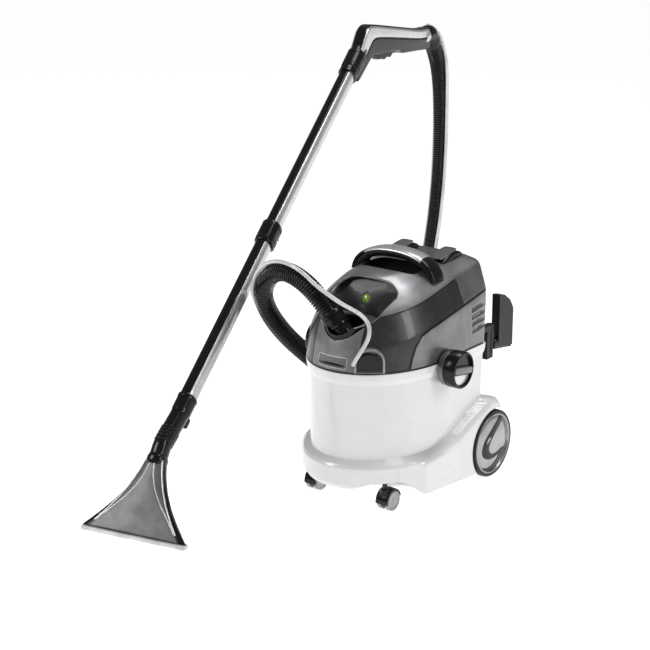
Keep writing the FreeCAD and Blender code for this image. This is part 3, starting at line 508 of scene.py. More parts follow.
def ribbed(points):
    # slanted louvres: the wall is pressed in under each rib, in a sawtooth that fades at both ends
    x, y, z = points.T
    phase = ((z - ribs["first"] - (y - ribs["frontY"]) * ribs["slope"]) / ribs["pitch"])
    tooth = np.where((phase > -0.1) & (phase < 3.9), 1 - np.mod(phase, 1.0), 0.0)
    fade = smoothStep(y, ribs["frontY"] - 4, ribs["frontY"] + 5) * (1 -
        smoothStep(y, ribs["rearY"] - 4, ribs["rearY"] + 4))
    push = smoothStep(tooth, 0.15, 0.85) * fade * ribs["depth"] * (np.abs(x) > 100)
    return points - np.column_stack([np.sign(x) * push, 0 * y, 0 * z])


savedPoints = headPoints
headPoints = ribbed(headPoints)
headPanel("rearHousingSkin", looks["base_grey"], [lambda p: -2.4 - stripeGap(p),
                                                  lambda p: p[:, 1] - 92 - panelGap], ["rear_housing"])
headPoints = savedPoints
headPanel("rearCoverSkin", looks["base_grey"], [lambda p: stripeGap(p) - 2.4,
          lambda p: np.maximum(p[:, 1] - 80, np.minimum(p[:, 1] - 64, creaseGap(p))) - panelGap,
          lambda p: -trayGap(p)],
          ["rear_cover"], crown=True)
headPanel("releaseKey", looks["base_grey"], [lambda p: buttonGap(p)], ["release_button"], "release", 4.0, 0.8,
          -0.6)
headPanel("releaseDip", looks["black_trim"], [lambda p: buttonGap(p) - 2.6,
                                              lambda p: 297.5 - p[:, 2] - 0.004 * p[:, 0] ** 2], [],
                                              "release", 1.0, 0.3, 0.1)
headPanel("releaseRim", looks["silver_plastic"], [lambda p: 0.8 - np.abs(buttonGap(p) + 1.2)], [], lift=0.3,
          wall=1.6)
# painted shade: a black matte liner inside the head, so that no seam shows the inside and every seam gap
# reads dark
linerGrid = headGrid(4.2)[::2, ::2]
linerFaces = gridFaces(*linerGrid.shape[:2], False, True)
linerPoints = linerGrid.reshape(-1, 3)
linerFaces = linerFaces + [list(range(len(linerPoints) - linerGrid.shape[1], len(linerPoints)))]
for field in (lambda p: -pocketGap(p, 0.5), lambda p: -trayGap(p, 0.5), lambda p: -buttonGap(p, 1.0)):
    linerPoints, linerFaces = clip(linerPoints, linerFaces, field)
thicken(meshPiece("seamShadeLiner", linerPoints, linerFaces, looks["black_matte"], "head"), 1.0)
print("stage: head skin")


def cutGrid(name, grid, look, fields, stands=(), body="head", wall=1.6, bevel=0.0):
    points, faces = np.asarray(grid, float).reshape(-1, 3), gridFaces(*np.shape(grid)[:2])
    for field in fields:
        points, faces = clip(points, faces, field)
    return thicken(meshPiece(name, points, faces, look, body, stands), wall, bevel)


# eye face: a dish that leans back over a ledge, with the round bowl in front of it
across, up = np.meshgrid(np.linspace(-78, 78, 120), np.linspace(352, 446, 80))
eyePlane = np.stack([across, np.zeros_like(across), up], -1)
eyePlane[..., 1] = eyeDepth(eyePlane.reshape(-1, 3)).reshape(across.shape)
ledgeRise = lambda p: p[:, 2] - 369 - 13 * (p[:, 0] / 60) ** 2 - 0.12 * (p[:, 1] + 80)
cutGrid("eyeFace", eyePlane, looks["eye_dark"],
        [headInside, lambda p: outlineDepth(p[:, [0, 2]], pocketLine) + 0.5, lambda p: ledgeRise(p) + 1],
        ["eye_panel"])
closedLine = np.vstack([pocketLine, pocketLine[:1]])
back = np.linspace(-170, -36, 110)
wallGrid = np.stack(np.broadcast_arrays(closedLine[:, 0], back[:, None], closedLine[:, 1]), -1)
cutGrid("recessWall", wallGrid, looks["hood_grey"], [headInside, lambda p: eyeDepth(p) + 0.5,
                                                     lambda p: ledgeRise(p) + 1])
bowlSizes = {"halfX": 41.0, "halfY": 36.0, "midY": -125.0}


def bowlOut(points):
    return (np.hypot(points[:, 0] / bowlSizes["halfX"],
                     (points[:, 1] - bowlSizes["midY"]) / bowlSizes["halfY"]) - 1) * 40


ledgeX, ledgeY = np.meshgrid(np.linspace(-76, 76, 130), np.linspace(-166, -66, 90))
ledgeGrid = np.stack([ledgeX, ledgeY, 369 + 13 * (ledgeX / 60) ** 2 + 0.12 * (ledgeY + 80)], -1)
cutGrid("bowlLedge", ledgeGrid, looks["hood_grey"], [lambda p: outlineDepth(p[:, [0, 2]], pocketLine) + 0.5,
                                                     bowlOut, headInside,
                                                    lambda p: eyeDepth(p) + 2], wall=2.0, bevel=0.5)
angle, level = np.meshgrid(np.linspace(-math.pi, math.pi, 181), np.linspace(pocket["floor"], 380, 40))
bowlGrid = np.stack([(bowlSizes["halfX"] + 0.2) * np.cos(angle),
                     bowlSizes["midY"] + (bowlSizes["halfY"] + 0.2) * np.sin(angle), level], -1)[:, ::-1]
cutGrid("bowlWall", bowlGrid, looks["black_trim"], [headInside, lambda p: 0.2 - ledgeRise(p)], ["inlet_bowl"])
angle, reach = np.meshgrid(np.linspace(0, 2 * math.pi, 90), np.linspace(1.04, 0.02, 20))
floorGrid = np.stack([reach * bowlSizes["halfX"] * np.cos(angle),
                      bowlSizes["midY"] + reach * bowlSizes["halfY"] * np.sin(angle),
                      pocket["floor"] + 5.0 * smoothStep(reach, 0.7, 1.02)], -1)
cutGrid("bowlFloor", floorGrid[:, ::-1], looks["black_trim"], [lambda p: headInside(p, 1.5)])

# recess under the handle: an oval wall with a rounded floor edge
angle, depth = np.meshgrid(np.linspace(0, 2 * math.pi, 161), np.linspace(0, 1, 60))
fall = np.clip(depth * 1.6, 0, 1)
oval = (np.abs(np.cos(angle)) ** tray["power"] + np.abs(np.sin(angle)) ** tray["power"]) ** (-1 /
        tray["power"])
shrink = np.where(depth < 0.62, 1 - 0.06 * smoothStep(fall, 0.5, 1.0), 0.94 * (1 - (depth - 0.62) / 0.38))
height = np.where(depth < 0.62, 460 - (460 - tray["floor"] - 3) * fall, tray["floor"] + 3)
trayGrid = np.stack([tray["halfX"] * oval * np.cos(angle) * shrink,
                     tray["midY"] + tray["halfY"] * oval * np.sin(angle) * shrink, height], -1)
cutGrid("traySkin", trayGrid[:, ::-1], looks["black_matte"], [lambda p: headInside(p, 0.0)], ["recess_tray"])
print("stage: recesses")


# ---- container and chassis ----

wheelSizes = {"y": 160.8, "z": 68.8, "tyre": 68.8}
wheelWell = {"beyond": 118.0, "radius": 77.0}
farInside = 10.0


def wheelSpace(points, beyond, radius):
    # how far a point lies outside the round room of a rear wheel; further in than beyond, no wheel is near
    away = np.hypot(points[:, 1] - wheelSizes["y"], points[:, 2] - wheelSizes["z"]) - radius
    return np.where(np.abs(points[:, 0]) > beyond, away, farInside)


tubLevels = {"z": (64.2, 66, 106, 240, 256, 266, 275, 278, 280),
             "half": (126, 127.4, 128.6, 130.8, 131.4, 135.4, 136.6, 137.0, 136.6),
             "front": (-165, -166.4, -169, -172, -172.6, -176.4, -177.6, -178, -177.6),
             "rear": (148, 149, 156, 157, 157.2, 157.8, 158, 158.1, 158)}
tubCounts = (150, 40, 10, 40)


def tubRings():
    z = np.concatenate([np.linspace(64.2, 70, 6), np.linspace(74, 244, 30), np.linspace(248, 280, 30)])
    outer = [np.column_stack([ringOutline(np.interp(h, tubLevels["z"], tubLevels["half"]),
                                          np.interp(h, tubLevels["z"], tubLevels["front"]),
                                          np.interp(h, tubLevels["z"], tubLevels["rear"]), 0, 13, tubCounts),
                              np.full(sum(1 for _ in ringOutline(100, -100, 100, 0, 13, tubCounts)),
                                      h)]) for h in z]
    inner = [ring_ * [0.976, 0.98, 1] + [0, 0, 1.2 if ring_[0, 2] < 70 else 0] for ring_ in outer[::-1]]
    return ringStack(outer + inner)


tubPoints, tubFaces = tubRings()
wellGap = lambda p: wheelSpace(p, wheelWell["beyond"], wheelWell["radius"])
meshPiece("tubShell", *clip(tubPoints, tubFaces, wellGap), looks["white_shell"], "container",
          ["container_tub"], 30)

chassisSizes = {"blend": 7.0, "fairingHalf": 154.0, "shoulder": 17.0, "rows": 120, "turns": 620,
                "archRadius": 73.8}
fairingLine = {"y": (-110, -83, -64, 44, 98, 158, 183, 192), "top": (92, 97, 101, 121, 146, 166, 160, 146),
               "bottomY": (-110, -84, -70, -60, 20, 100, 150, 185, 192),
               "bottom": (66, 48, 36, 30, 25, 20, 30, 60, 100)}


def skirtReach(x, y, z):
    half = np.interp(z, (48, 54, 60, 94, 100, 104, 107, 110), (138, 143, 145.5, 146.5, 143, 136, 130.5, 126))
    bow = (1 - np.sqrt((x / half) ** 2 + (y / (half + 39)) ** 2)) * half
    block = np.minimum(half - np.abs(x), 152 - y)
    return np.where(y < 0, bow, block)


def fairingReach(x, y, z):
    top = np.interp(y, fairingLine["y"], fairingLine["top"])
    low = np.interp(y, fairingLine["bottomY"], fairingLine["bottom"])
    toe = np.interp(y, (-120, -99, -64, 120), (112, 124, 144.5, chassisSizes["fairingHalf"]))
    drop = np.clip((top - z) / chassisSizes["shoulder"], 0, 1)
    half = np.minimum(toe, 133 + (toe - 133) * np.sqrt(1 - (1 - drop) ** 2))
    reach = np.minimum(np.minimum(half - np.abs(x), np.abs(x) - 115.5), np.minimum(192 - y, y + 112))
    return np.minimum(reach, np.minimum(top - z, z - low + 2))


def chassisReach(points):
    x, y, z = points.T
    low = skirtReach(x, y, z)
    return softMost(low, np.minimum(fairingReach(x, y, z), 40), chassisSizes["blend"])


def chassisGrid():
    # each point lies where a level ray from the middle last leaves the body; rows follow the lower edge
    turn = np.linspace(0, 2 * math.pi, chassisSizes["turns"], endpoint=False)
    ray = np.stack([np.cos(turn), np.sin(turn)], 1)
    edgeY = 150 * ray[:, 1]
    side = np.abs(ray[:, 0])
    lowSide = np.interp(edgeY, fairingLine["bottomY"], fairingLine["bottom"])
    lowFront = 50 + 14 * smoothStep(side, 0.2, 0.5)
    share = smoothStep(edgeY, -112, -78)
    low = np.where(edgeY > 140, np.where(side > 0.6, 30, 50), lowFront * (1 - share) + lowSide * share)
    high = 168.0
    rise = np.linspace(0, 1, chassisSizes["rows"])
    level = low[None] + (high - low)[None] * rise[:, None]
    reach = np.arange(100, 252, 1.0)
    field = np.empty((len(rise), len(turn), len(reach)), np.float32)
    for k, r in enumerate(reach):
        x, y = (ray * r).T
        grid = np.stack(np.broadcast_arrays(x[None], y[None], level), -1).reshape(-1, 3)
        field[:, :, k] = chassisReach(grid).reshape(level.shape)
    hit = field > 0
    last = np.where(hit.any(-1), hit.shape[-1] - 1 - np.argmax(hit[:, :, ::-1], -1), 0)
    last = np.minimum(last, len(reach) - 2)
    here = np.take_along_axis(field, last[..., None], -1)[..., 0]
    there = np.take_along_axis(field, last[..., None] + 1, -1)[..., 0]
    radius = reach[last] + np.where(here > there, here / np.maximum(here - there, 1e-6), 0)
    tub = np.array([[1 / math.sqrt((c / 125) ** 2 + (s / 163) ** 2) if s < 0 else min(125 / max(abs(c), 1e-6),
        146 / max(s, 1e-6))
                     for c, s in ray]])
    radius = np.where(hit.any(-1), radius, np.broadcast_to(tub, radius.shape))
    radius[0] = np.minimum(radius[0], tub[0] - 2)
    radius[-1] = tub[0] - 2
    return np.dstack([radius * ray[:, 0], radius * ray[:, 1], level])


grid = chassisGrid()
chassisPoints, chassisFaces = ringStack(grid)
archGap = lambda p: wheelSpace(p, 112, chassisSizes["archRadius"])
meshPiece("chassisShell", *clip(chassisPoints, chassisFaces, archGap), looks["white_shell"], "container",
          ["chassis"], 42)
for side, sign in (("Right", 1), ("Left", -1)):
    angle, out = np.meshgrid(np.linspace(0, 2 * math.pi, 181),
                             np.concatenate([[0.0], np.linspace(0.9, 6, 24)]))
    radius = np.where(out < 0.5, 6, chassisSizes["archRadius"] + 0.3)
    x = np.where(out < 1, 120, 120 + (out - 0.9) * 7.2)
    archGrid = np.stack([sign * x, 160.8 + radius * np.cos(angle), 68.8 + radius * np.sin(angle)], -1)
    archGrid = archGrid[:, ::-1] if sign > 0 else archGrid
    cutGrid("archLiner" + side, archGrid, looks["white_shell"],
            [lambda p: chassisReach(p) + 0.6, lambda p: p[:, 2] - 12],
            body="container", wall=1.2)
print("stage: container and chassis")


# ---- wheels ----

wheelMarks = {
    "wheelBow": [(22, 49), (2, 38), (-14, 28), (-27, 19), (-35, 10), (-40.5, -3), (-40, -13), (-35, -21),
                 (-24, -28), (-8, -31.5), (10, -30.5),
                 (24, -27), (41, -19), (38, -17.5), (24, -20), (6, -22.4), (-6, -21), (-14, -16), (-18.5, -8),
                 (-18, 1), (-10, 11), (0, 20),
                 (16, 30), (42, 44)],
    "wheelFoot": [(41, -18), (43, -24), (40, -31), (32, -41), (14, -51.5), (-8, -56.5), (-29, -54),
                  (-44, -45), (-50, -38), (-34, -47.5),
                  (-18, -50.5), (-2, -47), (16, -37), (26, -26)]}


def domeHeight(y, z):
    reach = np.clip(1 - np.hypot(y, z) / 56.5, 0, 1)
    return 150.8 + 5.6 * np.sin(math.pi / 2 * reach) ** 0.8


def wheelPieces(side, sign):
    centre, axis = (0, wheelSizes["y"], wheelSizes["z"]), (sign, 0, 0)
    body = "wheel_" + side
    title = side.capitalize()
    tread = [(62.5, 127.5), (66.5, 127.2), (68.2, 128.5), (68.8, 131)]
    for groove in range(6):
        at = 133 + groove * 3.2
        tread += [(68.8, at), (68.1, at + 0.5), (68.1, at + 1.3), (68.8, at + 1.8)]
    tread += [(68.7, 152.2), (67.8, 153.6), (66.2, 154.4), (64.6, 154.3), (62.6, 153.2)]
    meshPiece("tyre" + title, *turned(tread + [(60, 152.0), (60, 128.5)], centre, axis, 144)[0:1],
              ringLoop(len(tread) + 2, 144), looks["tyre_black"], body, ["tyre_" + side], 40)
    rim = [(0, 128.5), (62.2, 128.5), (62.4, 152.8), (61.6, 154.6), (60.2, 155.2), (58.8, 154.6),
           (57.8, 152.6)]
    arc = np.linspace(0, 1, 26)
    dome = [(56.5 * (1 - t), 150.8 + 5.6 * math.sin(math.pi / 2 * t) ** 0.8 - 1.6 *
             math.exp(-((t - 0.0) / 0.06) ** 2)) for t in arc]
    meshPiece("hub" + title, *turned(rim + dome, centre, axis, 144), looks["wheel_grey"], body,
              ["wheel_" + side], 30)
    for name, outline in wheelMarks.items():
        line = smoothLine(np.array(outline + outline[:1]), 110)[:-1]
        place = lambda a, h, b: np.stack([sign * (domeHeight(a, b) + h), wheelSizes["y"] + a,
                                          wheelSizes["z"] + b], -1)
        meshPiece(name + title, *pillow(line, -2.0, 1.0, 0.7, place), looks["black_trim"], body, (), 50)


def ringLoop(rows, steps):
    return gridFaces(rows, steps, True, True)


for side, sign in (("right", 1), ("left", -1)):
    wheelPieces(side, sign)

casterSizes = {"x": 86.0, "y": -106.0, "z": 20.0, "radius": 19.9}
for side, sign in (("right", 1), ("left", -1)):
    centre = (casterSizes["x"] * sign, casterSizes["y"], casterSizes["z"])
    for half, way in (("Outer", 1), ("Inner", -1)):
        disc = [(3, 4.6), (17.6, 4.9), (19.2, 5.4), (19.9, 6.6), (19.9, 12.6), (19.2, 13.9), (17.8, 14.5),
                (15.4, 14.2), (14.6, 13.2),
                (12.5, 12.9), (6.5, 13.5), (5.6, 14.3), (3.4, 14.6), (0, 14.6)]
        points, faces = turned(disc, centre, (way, 0, 0), 64)
        meshPiece("caster" + side.capitalize() + half, points, faces, looks["caster_grey"],
                  "caster_" + side + "_wheels",
                  ["caster_wheels_" + side] if way == 1 else [], 35)
    arcs = np.radians(np.linspace(20, 168, 60))
    section = np.array([(20.9, -13.9), (23.2, -13.9), (24.0, -13.2), (24.4, -11), (25.2, 0), (24.4, 11),
                        (24.0, 13.2), (23.2, 13.9), (20.9, 13.9),
                        (20.9, 5), (20.6, 3.2), (20.6, -3.2), (20.9, -5)])
    loops = [[(centre[0] + across, centre[1] - r * math.cos(t), centre[2] + r * math.sin(t)) for r,
              across in section] for t in arcs]
    meshPiece("casterHood" + side.capitalize(), *ringStack(loops), looks["black_trim"], "caster_" + side, (),
              40)
print("stage: wheels")


# ---- latches, handle, pods and hook ----

latchSizes = {"y": 9.0, "z": 268.0, "radius": 36.0, "tilt": -10.0}
for side, sign in (("right", 1), ("left", -1)):
    centre, axis, body = (0, latchSizes["y"], latchSizes["z"]), (sign, 0, 0), "latch_" + side
    disc = [(0, 150.4), (34.5, 150.4), (36, 152), (36, 156), (35.2, 157), (35.2, 158.4), (36, 159.4),
            (36, 174.6), (35, 176.6), (33, 177.4),
            (31.2, 176.6), (30.6, 174.4), (30.2, 171.4), (0, 171.4)]
    meshPiece("latchDisc" + side.capitalize(), *turned(disc, centre, axis, 120), looks["black_trim"], body,
              ["latch_knob_" + side], 35)
    lean = math.radians(latchSizes["tilt"])

    def latchPlace(a, h, b, sign=sign, lean=lean):
        # a runs along the grip, b across it and h out of the face
        y = latchSizes["y"] + a * math.cos(lean) - b * math.sin(lean)
        z = latchSizes["z"] + a * math.sin(lean) + b * math.cos(lean)
        return np.stack([sign * h, y, z], -1)

    grip = rounded([(-30, -7.5), (30, -7.5), (30, 7.5), (-30, 7.5)], 0.12)
    meshPiece("latchGrip" + side.capitalize(), *pillow(grip, 168, 178.4, 2.6, latchPlace), looks["tube_grey"],
              body, (), 50)
    lower = np.radians(np.linspace(200, 340, 40))
    moon = np.vstack([np.stack([29.4 * np.cos(lower), 29.4 * np.sin(lower)], 1), [(24, -10.0), (-24, -10.0)]])
    meshPiece("latchMoon" + side.capitalize(), *pillow(moon, 168, 172.6, 0.8, latchPlace),
              looks["silver_plastic"], body, (), 50)
    boss = [(0, 139.5), (34, 139.5), (35, 141), (35, 148.6), (34, 149.8), (0, 149.8)]
    meshPiece("latchBoss" + side.capitalize(), *turned(boss, centre, axis, 96), looks["base_grey"], "head",
              (), 35)

handleSizes = {"y": 38.0, "depth": 38.0, "silverTo": 66.0}
handleLine = np.array([(-100, 424), (-97, 436), (-90, 448), (-80, 457.5), (-66, 466), (-46, 472.6),
                       (-24, 476.4), (0, 477.4)])
handleLine = np.vstack([handleLine, handleLine[:-1][::-1] * [-1, 1]])


def handleBand(top, bottom, halfTop, halfBottom, crown):
    # the section between two depths below the handle's top line, crowned on top
    line = smoothLine(handleLine, 120)
    run = np.gradient(line, axis=0)
    run /= np.linalg.norm(run, axis=1, keepdims=True)
    inward = np.stack([run[:, 1], -run[:, 0]], 1)
    section = rounded([(-1, -1), (1, -1), (1, 1), (-1, 1)], 0.14, 3)
    across, down = section[:, 0] / np.abs(section).max(), section[:, 1] / np.abs(section).max()
    half = halfTop + (halfBottom - halfTop) * (1 - down) / 2
    depth = (top + bottom) / 2 - (bottom - top) / 2 * down + crown * np.abs(across) ** 3 * (down > 0)
    loops = []
    for place, way in zip(line, inward):
        loops.append(np.stack([place[0] + way[0] * depth, handleSizes["y"] + across * half,
                               place[1] + way[1] * depth], 1))
    return ringStack(loops)


archPoints, archFaces = handleBand(0.0, 8.4, 19.0, 19.0, 2.2)
archMiddle = np.array([np.abs(archPoints[face, 0]).mean() for face in archFaces])
meshPiece("handleArch", archPoints, archFaces, [looks["silver_plastic"], looks["black_trim"]], "head",
          ["carry_handle"], 50,
          (archMiddle > handleSizes["silverTo"]).astype(int))
meshPiece("handleUnderside", *handleBand(7.6, 20.0, 18.4, 13.0, 0.0), looks["black_matte"], "head",
          ["handle_grip"], 50)
podSizes = {"low": 30.0, "high": 72.0, "edge": 5.0}
podLine = rounded([(66, 424), (100, 450), (140, 459), (162, 452), (173, 425), (172, 410), (80, 410)], 0.22)
for side, sign in (("Right", 1), ("Left", -1)):
    meshPiece("rearPod" + side, *pillow(podLine, podSizes["low"], podSizes["high"], podSizes["edge"],
                                        lambda a, h, b, sign=sign: np.stack([sign * h, a, b], -1)),
                                        looks["black_trim"], "head", (), 50)
inlayLine = rounded([(-16, -30), (16, -30), (16, 30), (-16, 30)], 0.12)
for side, sign in (("Right", 1), ("Left", -1)):
    inlay = lambda a, h, b, sign=sign: np.stack([sign * (51 + a), 120 + b, 455.2 + 0.16 * b + h], -1)
    meshPiece("podInlay" + side, *pillow(inlayLine if sign > 0 else inlayLine[::-1], -2.0, 1.0, 0.6, inlay),
              looks["base_grey"], "head", (), 50)
hookSizes = {"x": 110.0, "half": 8.6, "edge": 3.0}
hookShapes = {"hookUpright": ([(229, 252), (262, 247), (280, 250), (281, 300), (279, 322), (266, 340),
                               (247, 352), (230, 354)], "hook"),
              "hookFoot": ([(212, 248), (280, 238), (280, 252), (214, 264)], "hook")}
for name, (outline, body) in hookShapes.items():
    meshPiece(name, *pillow(rounded(outline, 0.15), -hookSizes["half"], hookSizes["half"], hookSizes["edge"],
                            lambda a, h, b: np.stack([hookSizes["x"] + h, a, b], -1)), looks["black_trim"],
                            body, (), 50)
print("stage: latches, handle and hook")


# ---- hose, spray line and elbow ----

hoseRoute = [
    (-33, -134, 378), (-63, -137, 411), (-98, -137, 433), (-138, -132, 442), (-177, -122, 432),
    (-212, -106, 404), (-238, -84, 367),
    (-252, -50, 320), (-251, 0, 262), (-243, 58, 208), (-229, 118, 155), (-217, 182, 102), (-213, 250, 58),
    (-228, 322, 27),
    (-258, 398, 20), (-302, 476, 20), (-350, 556, 20), (-397, 636, 20), (-433, 712, 31), (-452, 770, 72),
    (-462, 814, 134),
    (-471, 856, 214), (-480, 892, 306), (-485, 914, 410), (-487, 922, 516), (-486, 918, 602),
    (-484, 906, 660), (-479, 885, 703),
    (-472, 855, 738)]
lineRoute = [
    (51, -175, 302), (61, -176, 319), (72, -172, 338), (80, -165, 358), (75, -156, 379), (55, -150, 392),
    (31, -148, 399),
    (2, -147, 406), (-25, -147, 417), (-55, -146, 429), (-91, -148, 454), (-137, -143, 464),
    (-186, -132, 453), (-229, -114, 420),
    (-260, -92, 374), (-276, -54, 324), (-275, -3, 265), (-268, 55, 212), (-253, 118, 167), (-234, 187, 121),
    (-219, 258, 80),
    (-229, 329, 50), (-257, 400, 44), (-301, 477, 44), (-348, 556, 44), (-391, 635, 44), (-419, 704, 51),
    (-432, 758, 80),
    (-440, 802, 136), (-449, 846, 215), (-457, 884, 307), (-462, 907, 411), (-464, 914, 517),
    (-463, 912, 604), (-458, 903, 668),
    (-459, 891, 718), (-461, 872, 757), (-465, 848, 779), (-469, 828, 785)]
hoseSizes = {"diameter": 38.0, "pitch": 5.8, "perRidge": 7, "around": 26, "valley": 15.8, "ridge": 19.4}
lineSizes = {"diameter": 8.0, "step": 5.0, "around": 14}


def routeCurve(name, route):
    # one open spline through the route's control points, read back as a fine line
    data = bpy.data.curves.new(name, "CURVE")
    data.dimensions = "3D"
    spline = data.splines.new("NURBS")
    spline.points.add(len(route) - 1)
    spline.points.foreach_set("co", np.column_stack([np.array(route) * mm, np.ones(len(route))]).ravel())
    spline.order_u, spline.use_endpoint_u, spline.resolution_u = 3, True, 24
    holder = bpy.data.objects.new(name, data)
    fine = bpy.data.meshes.new_from_object(holder)
    line = np.empty(len(fine.vertices) * 3)
    fine.vertices.foreach_get("co", line)
    bpy.data.objects.remove(holder)
    return line.reshape(-1, 3) / mm


def evenly(line, step):
    run = np.concatenate([[0], np.cumsum(np.linalg.norm(np.diff(line, axis=0), axis=1))])
    at = np.linspace(0, run[-1], int(round(run[-1] / step)) + 1)
    return np.stack([np.interp(at, run, line[:, k]) for k in range(3)], 1), at


def alongPath(line, radii, around):
    # circles carried along a line without turning about it
    run = np.gradient(line, axis=0)
    run /= np.linalg.norm(run, axis=1, keepdims=True)
    across = np.cross(run[0], (0, 0, 1.0))
    across /= np.linalg.norm(across)
    spokes = []
    for way in run:
        across = across - way * across.dot(way)
        across /= np.linalg.norm(across)
        spokes.append(across)
    spokes = np.array(spokes)
    binormal = np.cross(run, spokes)
    angle = np.linspace(0, 2 * math.pi, around, endpoint=False)
    ring = np.cos(angle)[None, :, None] * spokes[:, None] + np.sin(angle)[None, :, None] * binormal[:, None]
    return line[:, None] + ring * np.asarray(radii)[:, None, None]


hoseLine, hoseAt = evenly(routeCurve("hoseGuide", hoseRoute), hoseSizes["pitch"] / hoseSizes["perRidge"])
phase = np.mod(hoseAt / hoseSizes["pitch"], 1.0)
wave = np.clip(0.5 + 0.85 * np.cos(2 * math.pi * phase), 0, 1)
hoseRadius = hoseSizes["valley"] + (hoseSizes["ridge"] - hoseSizes["valley"]) * wave
hoseFade = np.minimum(smoothStep(hoseAt, -1, 6), smoothStep(hoseAt[-1] - hoseAt, -1, 6))
hoseRadius = hoseSizes["valley"] + (hoseRadius - hoseSizes["valley"]) * hoseFade
suctionHose = meshPiece("suctionHose", *ringStack(alongPath(hoseLine, hoseRadius, hoseSizes["around"])),
                        looks["hose_black"],
                        "head", ["suction_hose"], 70)
lineLine, _ = evenly(routeCurve("lineGuide", lineRoute), lineSizes["step"])
sprayLine = meshPiece("sprayLine", *ringStack(alongPath(lineLine, np.full(len(lineLine), 4.0),
                                                        lineSizes["around"])),
                      looks["line_clear"], "head", ["spray_line"], 70)


def tubeAlong(name, stations, look, stands=(), body="head", around=56, sharp=40):
    # stations: (point, radius); a turned body along a bent line
    line = np.array([s[0] for s in stations], float)
    radii = [s[1] for s in stations]
    return meshPiece(name, *ringStack(alongPath(line, radii, around)), look, body, stands, sharp)


hoseStart = np.array(hoseRoute[0], float)
hoseWay = np.array(hoseRoute[1], float) - hoseStart
hoseWay /= np.linalg.norm(hoseWay)
elbowBend = smoothLine([(0, -115, 324), (2, -116, 331), tuple(hoseStart - hoseWay * 50),
                        tuple(hoseStart - hoseWay * 34),
                        tuple(hoseStart - hoseWay * 22)], 40)
elbowRadius = 20.0 + 1.4 * np.exp(-((np.linspace(0, 1, 40) - 0.12) / 0.05) ** 2)
tubeAlong("hoseElbow", list(zip(elbowBend, elbowRadius)), looks["black_trim"], ["hose_elbow"])
collarShape = [(-34, 19.6), (-33, 21.6), (-31.6, 22.4), (-27, 22.6), (-26, 21.4), (-24.6, 21.4),
               (-23.6, 22.7), (-12.5, 22.9), (-11.5, 21.9),
               (-10.4, 21.9), (-9.4, 23.0), (-2, 23.0), (-0.6, 22.3), (0.8, 20.4), (1.0, 16)]
tubeAlong("hoseCollar", [(hoseStart + hoseWay * at, r) for at, r in collarShape], looks["black_trim"],
          ["hose_collar"])
print("stage: hose and spray line")


# ---- wand ----

wandSizes = {"x": -205.9, "y": -504.4, "heading": 101.1, "tubeAngle": 36.3, "jointV": 538.0, "jointZ": 454.0,
             "visible": 500.0}
heading = math.radians(wandSizes["heading"])
wandAlong = np.array([math.cos(heading), math.sin(heading), 0])
wandSide = np.array([-math.sin(heading), math.cos(heading), 0])
climb = math.radians(wandSizes["tubeAngle"])
tubeWay = wandAlong * math.cos(climb) + np.array([0, 0, math.sin(climb)])
tubeTop = -wandAlong * math.sin(climb) + np.array([0, 0, math.cos(climb)])


def inWand(v, side, z):
    # a point of the wand's upright plane, side measured to its left
    v, side, z = np.broadcast_arrays(v, side, z)
    return np.array([wandSizes["x"], wandSizes["y"], 0]) + v[..., None] * wandAlong + side[...,
        None] * wandSide + z[..., None] * [0, 0, 1.0]


def onTube(along, side, up):
    along, side, up = np.broadcast_arrays(along, side, up)
    start = inWand(wandSizes["jointV"], 0, wandSizes["jointZ"])
    return start + along[..., None] * tubeWay + side[..., None] * wandSide + up[..., None] * tubeTop


def ovalTube(name, profile, look, stands=(), slots=None, width=32.0, depth=38.0, around=64, power=2.4):
    # profile: (distance along the tube, growth); the section is a squarish oval
    turn = np.linspace(0, 2 * math.pi, around, endpoint=False)
    across = np.sign(np.cos(turn)) * np.abs(np.cos(turn)) ** (2 / power)
    up = np.sign(np.sin(turn)) * np.abs(np.sin(turn)) ** (2 / power)
    loops = [onTube(at, across * (width / 2 + grow), up * (depth / 2 + grow)) for at, grow in profile]
    points, faces = ringStack(loops)
    return meshPiece(name, points, faces, look, "head", stands, 42,
                     None if slots is None else slots(len(profile), turn, len(faces)))


def tubeLitAndShadedSlots(rows, turn, count):
    # painted light and shade: the middle of the top face is painted black as shade, its edges and the sides
    # silver grey as the lit side, on a tube that is one dark grey plastic
    middle = (turn + (turn[1] - turn[0]) / 2)
    black = (np.cos(middle) ** 2 < 0.30) & (np.sin(middle) > 0)
    line = np.tile(np.where(black, 1, 0), rows - 1)
    return np.concatenate([line, np.zeros(count - len(line), int)])


# painted light and shade: silver stands for the lit sides and black for the shaded top face of the one dark
# grey tube
tubeLitAndShadedLooks = [looks["silver_plastic"], looks["black_trim"]]
lowerRun = [(-430, -2.5), (-429.5, -0.6), (-428, 0)] + [(at, 0) for at in range(-400, -26, 40)] + [(-26, 0)]
upperRun = [(26, 0)] + [(at, 0) for at in range(60, 474, 40)] + [(474, 0)]
ovalTube("lowerTube", lowerRun, tubeLitAndShadedLooks, ["lower_tube"], tubeLitAndShadedSlots)
ovalTube("upperTube", upperRun, tubeLitAndShadedLooks, ["upper_tube"], tubeLitAndShadedSlots)
sleeveShape = [(-26, -1), (-26, 2.4), (-25, 3.4), (-23, 3.9), (-17, 4.0), (-16, 3.0), (-14.6, 3.0),
               (-13.6, 4.1), (13.6, 4.3), (14.6, 3.2),
               (16, 3.2), (17, 4.3), (23, 4.4), (25, 3.7), (26, 2.6), (26, -1)]
ovalTube("tubeSleeve", sleeveShape, looks["black_trim"], ["tube_sleeve"])
ovalTube("handleSleeve", [(at + wandSizes["visible"], grow) for at, grow in sleeveShape],
         [looks["black_trim"], looks["tube_grey"]])
